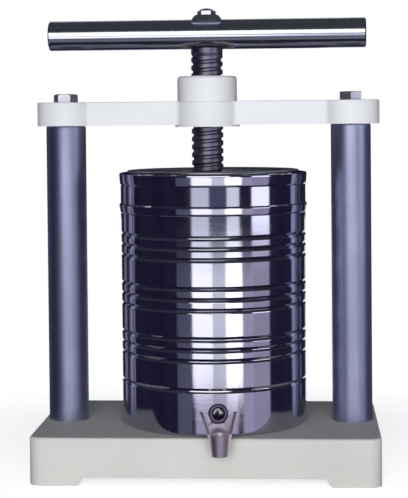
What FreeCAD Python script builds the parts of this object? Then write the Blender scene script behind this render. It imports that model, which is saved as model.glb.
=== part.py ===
import FreeCAD, Part
import os
import Sketcher
from FreeCAD import Placement, Rotation, Vector

# A bench press for tinctures: a heavy foot casting, two pillars and a crosshead,
# a big screw with a cross handle, and a press plate that goes down into a
# perforated cage. The cage stands in a grooved steel vessel with a drain spout.
#
# +Z is up and the front is -Y. The origin is on the table, under the screw.
# Millimetres, degrees and counts.

SIZES = [
    ("base_width", 270, "foot casting, left to right"),
    ("base_depth", 156, "foot casting, front to back"),
    ("base_height", 37, "table to the top of the foot casting"),
    ("base_corner", 10, "radius of its upright corners"),
    ("base_edge", 2, "radius of its top edge"),
    ("base_wall", 8, "thickness of its skirt"),
    ("base_deck", 10, "thickness of its top"),
    ("arch_height", 6.5, "how far the skirt is lifted off the table between the feet"),
    ("foot_width", 38, "each foot on the table, left to right"),
    ("arch_slope", 4.5, "how far each foot leans under the arch"),
    ("rib_width", 8, "rib between the two pillar bosses"),
    ("rib_height", 17, "depth of that rib below the deck"),
    ("boss_width", 38, "diameter of the boss below each pillar"),
    ("boss_depth", 9, "depth of that boss below the deck"),
    ("pillar_inset", 20, "end of the base to the middle of a pillar"),
    ("pillar_width", 32, "pillar diameter"),
    ("pillar_reach", 238, "base top to the underside of the crosshead"),
    ("pillar_socket", 5, "how deep a pillar is let into the base"),
    ("pillar_chamfer", 0.8, "chamfer on both ends of a pillar"),
    ("thread_depth", 32, "depth of the tapped hole in each end of a pillar"),
    ("bolt_width", 10, "shank diameter of the pillar bolts"),
    ("bolt_play", 0.5, "clearance hole over bolt, on the diameter"),
    ("bolt_relief", 2, "gap between a bolt's tip and the bottom of its hole"),
    ("bolt_flats", 17, "bolt head across its flats"),
    ("bolt_head", 6.8, "bolt head height"),
    ("left_bolt_turn", 0, "how far the left bolt's head ended up turned"),
    ("right_bolt_turn", 30, "how far the right bolt's head ended up turned"),
    ("washer_width", 21, "washer below each pillar, diameter"),
    ("washer_thickness", 2, "washer below each pillar"),
    ("bar_depth", 26, "crosshead bar, front to back"),
    ("bar_thickness", 19, "crosshead bar, up and down"),
    ("bar_join", 5, "radius where the bar runs into a lug or the middle"),
    ("bar_edge", 1, "rounding along the top edges of the bar and its lugs"),
    ("lug_width", 46, "round lug over each pillar, diameter"),
    ("eye_width", 52, "round middle of the bar, diameter"),
    ("eye_drop", 1.5, "how far that middle hangs below the bar"),
    ("hub_width", 48, "hub above the bar, diameter"),
    ("hub_height", 20, "hub above the bar"),
    ("hub_chamfer", 1.6, "chamfer round the hub's top"),
    ("nut_width", 36, "bronze nut's sleeve, diameter"),
    ("nut_flange_width", 43, "flange at its lower end, diameter"),
    ("nut_flange", 4, "thickness of that flange"),
    ("nut_recess", 1, "how far the nut ends below the hub's top"),
    ("grub_width", 6, "grub screw that locks the nut, diameter"),
    ("grub_recess", 0.5, "how far it is sunk below the hub's side"),
    ("screw_width", 25.4, "press screw, over its thread"),
    ("screw_play", 0.1, "nut bore over screw, on the diameter"),
    ("screw_lead_in", 1.5, "chamfer at the lower end of the thread"),
    ("stud_width", 8, "stud on the screw's top, diameter"),
    ("handle_width", 24, "handle bar diameter"),
    ("handle_length", 255, "handle bar, end to end"),
    ("handle_chamfer", 1, "chamfer on the bar's ends"),
    ("handle_flat", 0.7, "depth of the flat that seats on the screw"),
    ("handle_lift", 21.8, "hub top to the underside of the bar, as photographed"),
    ("stud_play", 0.4, "stud hole over stud, on the diameter"),
    ("saddle_width", 28, "saddle washer at its foot, diameter"),
    ("saddle_top_width", 19, "saddle washer at its top, diameter"),
    ("saddle_drop", 2.3, "how far the saddle reaches down over the bar"),
    ("saddle_rise", 3.4, "how far it stands above the bar"),
    ("cap_flats", 13, "cap nut across its flats"),
    ("cap_skirt", 3.2, "height of its six-sided part"),
    ("cap_dome", 2.2, "height of its dome"),
    ("cap_shoulder", 0.7, "share of the dome's width and height at its shoulder"),
    ("cap_crown", 0.25, "share of the dome's width that is flat on top"),
    ("vessel_height", 200, "vessel floor to rim"),
    ("vessel_wall", 1.5, "thickness of the vessel's sheet"),
    ("vessel_shift", 4, "vessel axis to the right of the screw, as it was put down"),
    ("vessel_turn", 5.5, "how far the vessel was put down turned to the right"),
    ("rim_height", 9.5, "rolled band at the rim"),
    ("bead_height", 7.2, "second band, a little below the rim"),
    ("bead_level", 172, "middle of the second band above the vessel's floor"),
    ("band_rise", 1.2, "how far both bands stand out"),
    ("groove_height", 5, "one rolled groove, up and down"),
    ("groove_depth", 0.8, "depth of a rolled groove"),
    ("groove_pitch", 8.3, "groove to groove in a group"),
    ("groove_count", 3, "grooves in a group"),
    ("group_pitch", 38.6, "group to group"),
    ("group_count", 3, "groups of grooves"),
    ("group_level", 57.8, "lowest groove above the vessel's floor"),
    ("low_groove_level", 35.4, "single groove near the foot"),
    ("drain_width", 13, "drain hole, diameter"),
    ("drain_level", 18.4, "drain hole above the vessel's underside"),
    ("trough_width", 30, "spout trough at the vessel"),
    ("trough_top", 21.3, "top of the trough at the vessel"),
    ("trough_floor", 8, "underside of the trough at the vessel"),
    ("trough_floor_width", 18, "underside of the trough, across"),
    ("trough_bite", 4.5, "how far the trough is run in before it is cut to the vessel"),
    ("sheet", 1.5, "thickness of the trough and the nozzle"),
    ("nozzle_reach", 23.5, "vessel wall to nozzle axis"),
    ("nozzle_width", 18, "nozzle at its top, diameter"),
    ("nozzle_tip_width", 13, "nozzle at its tip, diameter"),
    ("nozzle_top", 8, "nozzle mouth above the base"),
    ("nozzle_drop", 8.6, "nozzle tip below the top of the base"),
    ("cage_width", 136, "cage diameter outside"),
    ("cage_gap", 5, "gap from the cage out to the vessel"),
    ("cage_wall", 1.5, "thickness of the cage's sheet"),
    ("cage_rise", 2, "cage rim above the vessel's rim"),
    ("cage_bead", 1.3, "radius of the wire rolled into the cage's rim"),
    ("cage_floor_thickness", 2, "perforated floor of the cage"),
    ("foot_ring_height", 10, "ring that keeps the cage off the vessel's floor"),
    ("foot_ring_width", 6, "wall of that ring, in and out"),
    ("foot_notch_width", 16, "drain notch in the ring"),
    ("foot_notch_height", 6, "drain notch in the ring"),
    ("foot_notches", 6, "drain notches round the ring"),
    ("plate_gap", 9, "gap from the plate out to the cage, when they share an axis"),
    ("plate_thickness", 8, "press plate"),
    ("plate_chamfer", 1, "chamfer round the plate"),
    ("plate_lift", 22, "cage floor to plate, as photographed"),
    ("socket_width", 50, "screw socket on the plate, diameter"),
    ("socket_height", 16, "screw socket on the plate"),
    ("socket_depth", 11, "bore of that socket, from its top"),
    ("collar_play", 0.4, "bore over the screw's end collar, on the diameter"),
    ("end_play", 0.1, "screw end above the thrust washer"),
    ("keeper_play", 0.2, "end collar below the keeper"),
    ("thrust_thickness", 2, "bronze thrust washer"),
    ("collar_width", 24.6, "end collar of the screw, diameter"),
    ("neck_width", 18, "neck of the screw, diameter"),
    ("keeper_thickness", 4, "split keeper ring"),
    ("neck_play", 1, "keeper hole over the neck, on the diameter"),
    ("neck_headroom", 0.5, "neck above the keeper"),
    ("small_bolt_width", 5, "countersunk screws in plate and keeper"),
    ("small_bolt_head", 2.5, "height of a countersunk head"),
    ("small_bolt_head_width", 10, "diameter of a countersunk head"),
    ("small_bolt_bite", 7, "how far a countersunk screw goes into the socket piece"),
    ("small_bolt_circle", 37, "circle of the countersunk screws, diameter"),
    ("small_bolts", 4, "countersunk screws in a circle"),
]

# Places and sizes that follow from them
PILLAR_X = "(Sizes.base_width / 2 - Sizes.pillar_inset)"
SOCKET_FLOOR = "(Sizes.base_height - Sizes.pillar_socket)"
DECK_UNDERSIDE = "(Sizes.base_height - Sizes.base_deck)"
BOSS_FOOT = f"({DECK_UNDERSIDE} - Sizes.boss_depth)"
BAR_UNDERSIDE = "(Sizes.base_height + Sizes.pillar_reach)"
BAR_TOP = f"({BAR_UNDERSIDE} + Sizes.bar_thickness)"
HUB_TOP = f"({BAR_TOP} + Sizes.hub_height)"
HANDLE_AXIS = f"({HUB_TOP} + Sizes.handle_lift + Sizes.handle_width / 2)"
SCREW_TOP = f"({HANDLE_AXIS} - Sizes.handle_width / 2 + Sizes.handle_flat)"
SADDLE_TOP = f"({HANDLE_AXIS} + Sizes.handle_width / 2 + Sizes.saddle_rise)"
PILLAR_LENGTH = "(Sizes.pillar_reach + Sizes.pillar_socket)"
CAGE_FOOT = "(Sizes.base_height + Sizes.vessel_wall + Sizes.foot_ring_height)"
CAGE_FLOOR_TOP = f"({CAGE_FOOT} + Sizes.cage_floor_thickness)"
CAGE_HEIGHT = f"(Sizes.base_height + Sizes.vessel_height + Sizes.cage_rise - {CAGE_FOOT})"
PLATE_UNDERSIDE = f"({CAGE_FLOOR_TOP} + Sizes.plate_lift)"
PLATE_TOP = f"({PLATE_UNDERSIDE} + Sizes.plate_thickness)"
SOCKET_TOP = f"({PLATE_TOP} + Sizes.socket_height)"
BORE_FLOOR = f"({SOCKET_TOP} - Sizes.socket_depth)"
SCREW_END = f"({BORE_FLOOR} + Sizes.thrust_thickness + Sizes.end_play)"
COLLAR_LENGTH = f"({SOCKET_TOP} - Sizes.keeper_play - {SCREW_END})"
NECK_LENGTH = "(Sizes.keeper_play + Sizes.keeper_thickness + Sizes.neck_headroom)"
SCREW_LENGTH = f"({SCREW_TOP} - {SCREW_END})"
STUD_LENGTH = f"({SADDLE_TOP} + Sizes.cap_skirt - {SCREW_TOP})"
TAPPED_LENGTH = "(Sizes.thread_depth - Sizes.bolt_relief)"
VESSEL_RADIUS = "(Sizes.cage_width / 2 + Sizes.cage_gap + Sizes.vessel_wall)"
NOZZLE_AXIS = f"({VESSEL_RADIUS} + Sizes.nozzle_reach)"
PLATE_WIDTH = "(Sizes.cage_width - 2 * Sizes.cage_wall - 2 * Sizes.plate_gap)"

# A bolt head's cone leans 60 degrees, so it gains 1.732 across for 1 up.
HEAD_CONE_SLOPE = 1.732
HEAD_FACE = 0.475          # radius of the flat on a bolt head, over its flats
HEX_CORNER = "sqrt(3)"     # flats over corner radius of a hexagon
THROUGH = 4                # a cut that must go right through is this many times as long

document = FreeCAD.newDocument("tincture_press")
sheet = document.addObject("Spreadsheet::Sheet", "Sizes")
for row, (alias, value, meaning) in enumerate(SIZES, start=1):
    sheet.set(f"A{row}", alias)
    sheet.set(f"B{row}", str(value))
    sheet.set(f"C{row}", meaning)
    sheet.setAlias(f"B{row}", alias)
document.recompute()

pieces = []


def number(expression):
    """What an expression over the sheet comes to now."""
    return float(sheet.evalExpression(str(expression)))


def keep(piece, name):
    """Names a finished piece, which is then written to a file of that name."""
    piece.Label = name
    pieces.append(piece)
    return piece


def place(piece, across="0", back="0", up="0", turn="0"):
    """Puts a piece where the sheet says, turned about the vertical."""
    spot = Vector(number(across), number(back), number(up))
    piece.Placement = Placement(spot, Rotation(Vector(0, 0, 1), number(turn)))
    piece.setExpression("Placement.Base.x", across)
    piece.setExpression("Placement.Base.y", back)
    piece.setExpression("Placement.Base.z", up)
    if turn != "0":
        piece.setExpression("Placement.Rotation.Angle", turn)


# Sketches and features
def origin_part(body, role):
    return [part for part in body.Origin.OriginFeatures if part.Role == role][0]


def new_sketch(body, name, plane, offset="0"):
    """A sketch on one of the body's own planes, moved out along its normal."""
    sketch = body.newObject("Sketcher::SketchObject", name)
    sketch.AttachmentSupport = (origin_part(body, plane), [""])
    sketch.MapMode = "FlatFace"
    sketch.setExpression("AttachmentOffset.Base.z", offset)
    return sketch


def tie(sketch, kind, *where, value):
    """One dimension of a sketch, bound to an expression."""
    index = sketch.addConstraint(Sketcher.Constraint(kind, *where, number(value)))
    sketch.setExpression(f"Constraints[{index}]", value)


def tie_point(sketch, geometry, vertex, across, up):
    if across == "0":
        sketch.addConstraint(Sketcher.Constraint("PointOnObject", geometry, vertex, -2))
    else:
        tie(sketch, "DistanceX", -1, 1, geometry, vertex, value=across)
    if up == "0":
        sketch.addConstraint(Sketcher.Constraint("PointOnObject", geometry, vertex, -1))
    else:
        tie(sketch, "DistanceY", -1, 1, geometry, vertex, value=up)


def draw_polygon(sketch, points):
    """A closed outline of straight lines through points given as expressions."""
    corners = [Vector(number(across), number(up), 0) for across, up in points]
    sides = []
    for start, end in zip(corners, corners[1:] + corners[:1]):
        sides.append(sketch.addGeometry(Part.LineSegment(start, end), False))
    for side, following in zip(sides, sides[1:] + sides[:1]):
        sketch.addConstraint(Sketcher.Constraint("Coincident", side, 2, following, 1))
    for side, (across, up) in zip(sides, points):
        tie_point(sketch, side, 1, across, up)


def draw_rectangle(sketch, width, height):
    """A rectangle about the sketch's origin."""
    right, top = f"({width}) / 2", f"({height}) / 2"
    left, bottom = f"-({width}) / 2", f"-({height}) / 2"
    draw_polygon(sketch, [(left, bottom), (right, bottom), (right, top), (left, top)])


def draw_circle(sketch, width, across="0", up="0"):
    centre = Vector(number(across), number(up), 0)
    radius = f"({width}) / 2"
    circle = sketch.addGeometry(Part.Circle(centre, Vector(0, 0, 1), number(radius)), False)
    tie_point(sketch, circle, 3, across, up)
    tie(sketch, "Radius", circle, value=radius)


def draw_roll(sketch, radius, level, height, rise, inner):
    """The section of a rolled band or groove: an arc on a short straight back."""
    half = f"({height}) / 2"
    low, high = f"({level}) - {half}", f"({level}) + {half}"
    bow = f"(({half}) * ({half}) + ({rise}) * ({rise})) / (2 * abs({rise}))"
    corners = [Vector(number(across), number(up), 0)
               for across, up in ((radius, high), (inner, high), (inner, low), (radius, low))]
    middle = Vector(number(radius) + number(rise), number(level), 0)
    curve = Part.Arc(corners[3], middle, corners[0])
    sketch.addGeometry(curve, False)
    for start, end in zip(corners, corners[1:]):
        sketch.addGeometry(Part.LineSegment(start, end), False)
    arc, top, back, bottom = 0, 1, 2, 3
    lower_end, upper_end = (1, 2) if number(rise) > 0 else (2, 1)
    sketch.addConstraint(Sketcher.Constraint("Coincident", arc, upper_end, top, 1))
    sketch.addConstraint(Sketcher.Constraint("Coincident", top, 2, back, 1))
    sketch.addConstraint(Sketcher.Constraint("Coincident", back, 2, bottom, 1))
    sketch.addConstraint(Sketcher.Constraint("Coincident", bottom, 2, arc, lower_end))
    tie_point(sketch, top, 1, radius, high)
    tie_point(sketch, back, 1, inner, high)
    tie_point(sketch, bottom, 1, inner, low)
    tie_point(sketch, arc, lower_end, radius, low)
    tie(sketch, "Radius", arc, value=bow)


def finish_feature(body, feature, grows):
    """Recomputes, and makes sure that the feature added or took material."""
    feature.Refine = True
    document.recompute()
    before = feature.BaseFeature.Shape.Volume if feature.BaseFeature else 0
    if (feature.Shape.Volume > before) != grows:
        raise ValueError(f"{feature.Name} went the wrong way")
    return feature


def pad(body, name, sketch, length, both_ways=False):
    feature = body.newObject("PartDesign::Pad", name)
    feature.Profile = sketch
    feature.setExpression("Length", length)
    if both_ways:
        feature.SideType = "Symmetric"
    return finish_feature(body, feature, grows=True)


def pocket(body, name, sketch, length, along_normal=False, both_ways=False):
    """A cut: against the sketch's normal, or along it."""
    feature = body.newObject("PartDesign::Pocket", name)
    feature.Profile = sketch
    feature.Reversed = along_normal
    feature.setExpression("Length", length)
    if both_ways:
        feature.SideType = "Symmetric"
    return finish_feature(body, feature, grows=False)


def turned(body, name, sketch, angle=360):
    feature = body.newObject("PartDesign::Revolution", name)
    feature.Profile = sketch
    feature.ReferenceAxis = (sketch, ["V_Axis"])
    feature.Angle = angle
    return finish_feature(body, feature, grows=True)


def grooved(body, name, sketch):
    feature = body.newObject("PartDesign::Groove", name)
    feature.Profile = sketch
    feature.ReferenceAxis = (sketch, ["V_Axis"])
    return finish_feature(body, feature, grows=False)


def dress(body, kind, name, edges, size, grows=False):
    """A fillet or chamfer on the edges of the last feature that pass a test."""
    base = body.Tip
    names = [f"Edge{index}" for index, edge in enumerate(base.Shape.Edges, start=1) if edges(edge)]
    feature = body.newObject(f"PartDesign::{kind}", name)
    feature.Base = (base, names)
    feature.setExpression("Radius" if kind == "Fillet" else "Size", size)
    return finish_feature(body, feature, grows)


def round_pattern(body, name, originals, count):
    """Repeats features round the body's vertical axis."""
    pattern = body.newObject("PartDesign::PolarPattern", name)
    pattern.Originals = originals
    pattern.Axis = (origin_part(body, "Z_Axis"), [""])
    pattern.setExpression("Occurrences", count)
    body.Tip = pattern
    document.recompute()


def primitive(body, kind, name, sizes, across="0", back="0", up="0"):
    """One of the ready-made solids, added to or taken from a body."""
    feature = body.newObject(f"PartDesign::{kind}", name)
    for side, size in sizes.items():
        feature.setExpression(side, size)
    place(feature, across, back, up)
    return finish_feature(body, feature, grows=kind.startswith("Additive"))


def new_body(name):
    return document.addObject("PartDesign::Body", name)


# Tests for edges
def lies_at(level):
    """Edges that lie flat at one height."""
    height = number(level)
    return lambda edge: abs(edge.BoundBox.ZMin - height) + abs(edge.BoundBox.ZMax - height) < 1e-4


def circle_at(level, width):
    """Round edges of one diameter at one height."""
    flat = lies_at(level)
    radius = number(width) / 2
    return lambda edge: (flat(edge) and isinstance(edge.Curve, Part.Circle)
                         and abs(edge.Curve.Radius - radius) < 1e-4)


def is_upright(edge):
    return edge.BoundBox.ZLength > 1e-4 and edge.BoundBox.XLength + edge.BoundBox.YLength < 1e-4


def is_join(edge):
    """Upright edges in an inner corner, but not the seam of a round face."""
    return is_upright(edge) and abs(edge.BoundBox.YMin) > 1e-3


# The foot casting: a shallow box, open below, lifted off the table between its
# two feet, with a boss below each pillar and a rib from boss to boss
def make_base():
    body = new_body("base_casting")
    outline = new_sketch(body, "base_outline", "XY_Plane")
    draw_rectangle(outline, "Sizes.base_width", "Sizes.base_depth")
    pad(body, "base_block", outline, "Sizes.base_height")
    dress(body, "Fillet", "base_corners", is_upright, "Sizes.base_corner")
    dress(body, "Fillet", "base_top_edge", lies_at("Sizes.base_height"), "Sizes.base_edge")

    inside = new_sketch(body, "base_inside", "XY_Plane")
    draw_rectangle(inside, "Sizes.base_width - 2 * Sizes.base_wall",
                   "Sizes.base_depth - 2 * Sizes.base_wall")
    pocket(body, "base_hollow", inside, DECK_UNDERSIDE, along_normal=True)

    arch = new_sketch(body, "arch_outline", "XZ_Plane")
    foot_edge = "(Sizes.base_width / 2 - Sizes.foot_width)"
    arch_edge = f"({foot_edge} - Sizes.arch_slope)"
    draw_polygon(arch, [(f"-{foot_edge}", "0"), (foot_edge, "0"),
                        (arch_edge, "Sizes.arch_height"), (f"-{arch_edge}", "Sizes.arch_height")])
    pocket(body, "base_arch", arch, f"{THROUGH} * Sizes.base_depth", both_ways=True)

    bosses = new_sketch(body, "boss_circles", "XY_Plane", BOSS_FOOT)
    draw_circle(bosses, "Sizes.boss_width", PILLAR_X)
    draw_circle(bosses, "Sizes.boss_width", f"-{PILLAR_X}")
    pad(body, "pillar_bosses", bosses, "Sizes.boss_depth + Sizes.base_deck / 2")

    rib = new_sketch(body, "rib_outline", "XY_Plane", f"{DECK_UNDERSIDE} - Sizes.rib_height")
    rib_length = f"2 * {PILLAR_X} - Sizes.boss_width + Sizes.rib_width"
    draw_rectangle(rib, rib_length, "Sizes.rib_width")
    pad(body, "long_rib", rib, "Sizes.rib_height + Sizes.base_deck / 2")

    sockets = new_sketch(body, "socket_circles", "XY_Plane", "Sizes.base_height")
    draw_circle(sockets, "Sizes.pillar_width", PILLAR_X)
    draw_circle(sockets, "Sizes.pillar_width", f"-{PILLAR_X}")
    pocket(body, "pillar_sockets", sockets, "Sizes.pillar_socket")

    holes = new_sketch(body, "foot_bolt_circles", "XY_Plane", SOCKET_FLOOR)
    draw_circle(holes, "Sizes.bolt_width + Sizes.bolt_play", PILLAR_X)
    draw_circle(holes, "Sizes.bolt_width + Sizes.bolt_play", f"-{PILLAR_X}")
    pocket(body, "foot_bolt_holes", holes, "Sizes.base_height")
    place(body)
    return keep(body, "base_casting")


# A pillar: a ground steel bar, chamfered and tapped at both ends
def make_pillar(name, across):
    body = new_body(name)
    section = new_sketch(body, f"{name}_section", "XY_Plane")
    draw_circle(section, "Sizes.pillar_width")
    pad(body, f"{name}_bar", section, PILLAR_LENGTH)
    top = f"{PILLAR_LENGTH}"
    for end, level in (("foot", "0"), ("head", top)):
        dress(body, "Chamfer", f"{name}_{end}_chamfer", circle_at(level, "Sizes.pillar_width"),
              "Sizes.pillar_chamfer")
    for end, level, upwards in (("foot", "0", True), ("head", top, False)):
        hole = new_sketch(body, f"{name}_{end}_hole_circle", "XY_Plane", level)
        draw_circle(hole, "Sizes.bolt_width")
        pocket(body, f"{name}_{end}_hole", hole, "Sizes.thread_depth", along_normal=upwards)
    place(body, across, up=SOCKET_FLOOR)
    return keep(body, name)


# The crosshead: a flat bar with a round lug over each pillar and a tall hub
# that holds the nut
def make_crosshead():
    body = new_body("crosshead_casting")
    bar = new_sketch(body, "bar_outline", "XY_Plane")
    draw_rectangle(bar, f"2 * {PILLAR_X}", "Sizes.bar_depth")
    pad(body, "bar", bar, "Sizes.bar_thickness")
    lugs = new_sketch(body, "lug_circles", "XY_Plane")
    draw_circle(lugs, "Sizes.lug_width", PILLAR_X)
    draw_circle(lugs, "Sizes.lug_width", f"-{PILLAR_X}")
    pad(body, "lugs", lugs, "Sizes.bar_thickness")
    eye = new_sketch(body, "eye_circle", "XY_Plane", "-Sizes.eye_drop")
    draw_circle(eye, "Sizes.eye_width")
    pad(body, "eye", eye, "Sizes.eye_drop + Sizes.bar_thickness")
    dress(body, "Fillet", "bar_joins", is_join, "Sizes.bar_join", grows=True)
    dress(body, "Fillet", "bar_top_edge", lies_at("Sizes.bar_thickness"), "Sizes.bar_edge")

    hub = new_sketch(body, "hub_circle", "XY_Plane", "Sizes.bar_thickness - Sizes.bar_edge")
    draw_circle(hub, "Sizes.hub_width")
    pad(body, "hub", hub, "Sizes.hub_height + Sizes.bar_edge")
    hub_top = "Sizes.bar_thickness + Sizes.hub_height"
    dress(body, "Chamfer", "hub_edge", circle_at(hub_top, "Sizes.hub_width"), "Sizes.hub_chamfer")

    bore = new_sketch(body, "nut_bore_circle", "XY_Plane", hub_top)
    draw_circle(bore, "Sizes.nut_width")
    pocket(body, "nut_bore", bore, f"{THROUGH} * Sizes.hub_height")
    recess = new_sketch(body, "nut_recess_circle", "XY_Plane", "-Sizes.eye_drop")
    draw_circle(recess, "Sizes.nut_flange_width")
    pocket(body, "nut_flange_recess", recess, "Sizes.nut_flange", along_normal=True)

    holes = new_sketch(body, "top_bolt_circles", "XY_Plane", "Sizes.bar_thickness")
    draw_circle(holes, "Sizes.bolt_width + Sizes.bolt_play", PILLAR_X)
    draw_circle(holes, "Sizes.bolt_width + Sizes.bolt_play", f"-{PILLAR_X}")
    pocket(body, "top_bolt_holes", holes, "2 * Sizes.bar_thickness")

    grub = new_sketch(body, "grub_circle", "XZ_Plane")
    draw_circle(grub, "Sizes.grub_width", up="Sizes.bar_thickness + Sizes.hub_height / 2")
    pocket(body, "grub_hole", grub, "Sizes.hub_width")
    place(body, up=BAR_UNDERSIDE)
    return keep(body, "crosshead_casting")


# The bronze nut, with a flange that takes the pull of the screw
def make_nut():
    body = new_body("screw_nut")
    section = new_sketch(body, "nut_section", "XZ_Plane")
    bore = "(Sizes.screw_width + Sizes.screw_play) / 2"
    length = ("(Sizes.eye_drop + Sizes.bar_thickness + Sizes.hub_height"
              " - Sizes.nut_recess)")
    draw_polygon(section, [(bore, "0"), ("Sizes.nut_flange_width / 2", "0"),
                           ("Sizes.nut_flange_width / 2", "Sizes.nut_flange"),
                           ("Sizes.nut_width / 2", "Sizes.nut_flange"),
                           ("Sizes.nut_width / 2", length), (bore, length)])
    turned(body, "nut_turning", section)
    place(body, up=f"{BAR_UNDERSIDE} - Sizes.eye_drop")
    return keep(body, "screw_nut")


def make_grub_screw():
    screw = document.addObject("Part::Cylinder", "nut_grub_screw")
    screw.setExpression("Radius", "Sizes.grub_width / 2")
    length = "((Sizes.hub_width - Sizes.nut_width) / 2 - Sizes.grub_recess)"
    screw.setExpression("Height", length)
    spot = Vector(0, number(f"Sizes.nut_width / 2 + {length}"), number(f"{BAR_TOP} + Sizes.hub_height / 2"))
    screw.Placement = Placement(spot, Rotation(Vector(1, 0, 0), 90))
    screw.setExpression("Placement.Base.y", f"Sizes.nut_width / 2 + {length}")
    screw.setExpression("Placement.Base.z", f"{BAR_TOP} + Sizes.hub_height / 2")
    return keep(screw, "nut_grub_screw")


# Bolts: six-sided heads with a coned face, and plain shanks
def make_bolt(name, across, seat, length, head_up, turn="0"):
    head = document.addObject("Part::Prism", f"{name}_six_sides")
    head.Polygon = 6
    head.setExpression("Circumradius", f"Sizes.bolt_flats / {HEX_CORNER}")
    head.setExpression("Height", "Sizes.bolt_head")
    cone = document.addObject("Part::Cone", f"{name}_cone")
    face = f"{HEAD_FACE} * Sizes.bolt_flats"
    foot = f"{face} + {HEAD_CONE_SLOPE} * Sizes.bolt_head"
    cone.setExpression("Radius1", foot if head_up else face)
    cone.setExpression("Radius2", face if head_up else foot)
    cone.setExpression("Height", "Sizes.bolt_head")
    coned = document.addObject("Part::Common", f"{name}_head")
    coned.Base, coned.Tool = head, cone
    shank = document.addObject("Part::Cylinder", f"{name}_shank")
    shank.setExpression("Radius", "Sizes.bolt_width / 2")
    shank.setExpression("Height", length)
    bolt = document.addObject("Part::Fuse", name)
    bolt.Base, bolt.Tool = coned, shank
    if head_up:
        place(shank, up=f"-({length})")
        place(bolt, across, up=seat, turn=turn)
    else:
        place(shank, up="Sizes.bolt_head")
        place(bolt, across, up=f"{seat} - Sizes.bolt_head", turn=turn)
    return bolt


def make_group(name, members):
    group = document.addObject("Part::Compound", name)
    group.Links = members
    return keep(group, name)


def make_pillar_bolts():
    through_bar = f"Sizes.bar_thickness + {TAPPED_LENGTH}"
    make_group("pillar_top_bolts", [
        make_bolt("left_top_bolt", f"-{PILLAR_X}", BAR_TOP, through_bar, True, "Sizes.left_bolt_turn"),
        make_bolt("right_top_bolt", PILLAR_X, BAR_TOP, through_bar, True, "Sizes.right_bolt_turn")])
    seat = f"({BOSS_FOOT} - Sizes.washer_thickness)"
    through_boss = f"{SOCKET_FLOOR} - {seat} + {TAPPED_LENGTH}"
    make_group("pillar_foot_bolts", [
        make_bolt("left_foot_bolt", f"-{PILLAR_X}", seat, through_boss, False),
        make_bolt("right_foot_bolt", PILLAR_X, seat, through_boss, False)])
    make_group("pillar_foot_washers", [
        make_washer("left_foot_washer", f"-{PILLAR_X}", seat),
        make_washer("right_foot_washer", PILLAR_X, seat)])


def make_washer(name, across, level):
    disc = document.addObject("Part::Cylinder", f"{name}_disc")
    disc.setExpression("Radius", "Sizes.washer_width / 2")
    disc.setExpression("Height", "Sizes.washer_thickness")
    hole = document.addObject("Part::Cylinder", f"{name}_hole")
    hole.setExpression("Radius", "(Sizes.bolt_width + Sizes.bolt_play) / 2")
    hole.setExpression("Height", "Sizes.washer_thickness")
    washer = document.addObject("Part::Cut", name)
    washer.Base, washer.Tool = disc, hole
    place(washer, across, up=level)
    return washer


# The press screw: an end collar and neck that the plate hangs from, the long
# threaded part, and a stud for the handle
def make_screw():
    body = new_body("press_screw")
    section = new_sketch(body, "screw_section", "XZ_Plane")
    collar, neck = "Sizes.collar_width / 2", "Sizes.neck_width / 2"
    outside, stud = "Sizes.screw_width / 2", "Sizes.stud_width / 2"
    shoulder = f"({COLLAR_LENGTH} + {NECK_LENGTH})"
    draw_polygon(section, [
        ("0", "0"), (collar, "0"), (collar, COLLAR_LENGTH), (neck, COLLAR_LENGTH), (neck, shoulder),
        (f"{outside} - Sizes.screw_lead_in", shoulder), (outside, f"{shoulder} + Sizes.screw_lead_in"),
        (outside, SCREW_LENGTH), (stud, SCREW_LENGTH),
        (stud, f"{SCREW_LENGTH} + {STUD_LENGTH}"), ("0", f"{SCREW_LENGTH} + {STUD_LENGTH}")])
    turned(body, "screw_turning", section)
    place(body, up=SCREW_END)
    return keep(body, "press_screw")


# The handle: a polished bar across the top of the screw, drilled for the stud
def make_handle():
    body = new_body("handle_bar")
    section = new_sketch(body, "handle_section", "YZ_Plane")
    draw_circle(section, "Sizes.handle_width")
    pad(body, "handle_round", section, "Sizes.handle_length", both_ways=True)
    end = number("Sizes.handle_length / 2")
    dress(body, "Chamfer", "handle_ends",
          lambda edge: edge.BoundBox.XLength < 1e-4 and abs(abs(edge.BoundBox.XMin) - end) < 1e-4,
          "Sizes.handle_chamfer")
    seat = new_sketch(body, "seat_outline", "XY_Plane", "-Sizes.handle_width / 2 + Sizes.handle_flat")
    draw_rectangle(seat, "Sizes.screw_width", "Sizes.handle_width")
    pocket(body, "seat_flat", seat, "Sizes.handle_width")
    hole = new_sketch(body, "stud_hole_circle", "XY_Plane")
    draw_circle(hole, "Sizes.stud_width + Sizes.stud_play")
    pocket(body, "stud_hole", hole, "2 * Sizes.handle_width", both_ways=True)
    place(body, up=HANDLE_AXIS)
    return keep(body, "handle_bar")


# The saddle washer: a coned washer whose underside is hollowed to fit the bar
def make_saddle():
    body = new_body("handle_saddle_washer")
    section = new_sketch(body, "saddle_section", "XZ_Plane")
    foot = "(Sizes.handle_width / 2 - Sizes.saddle_drop)"
    top = "(Sizes.handle_width / 2 + Sizes.saddle_rise)"
    bore = "(Sizes.stud_width + Sizes.stud_play) / 2"
    draw_polygon(section, [(bore, foot), ("Sizes.saddle_width / 2", foot),
                           ("Sizes.saddle_top_width / 2", top), (bore, top)])
    turned(body, "saddle_turning", section)
    seat = new_sketch(body, "saddle_seat_circle", "YZ_Plane")
    draw_circle(seat, "Sizes.handle_width")
    pocket(body, "saddle_seat", seat, "2 * Sizes.saddle_width", both_ways=True)
    place(body, up=HANDLE_AXIS)
    return keep(body, "handle_saddle_washer")


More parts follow.
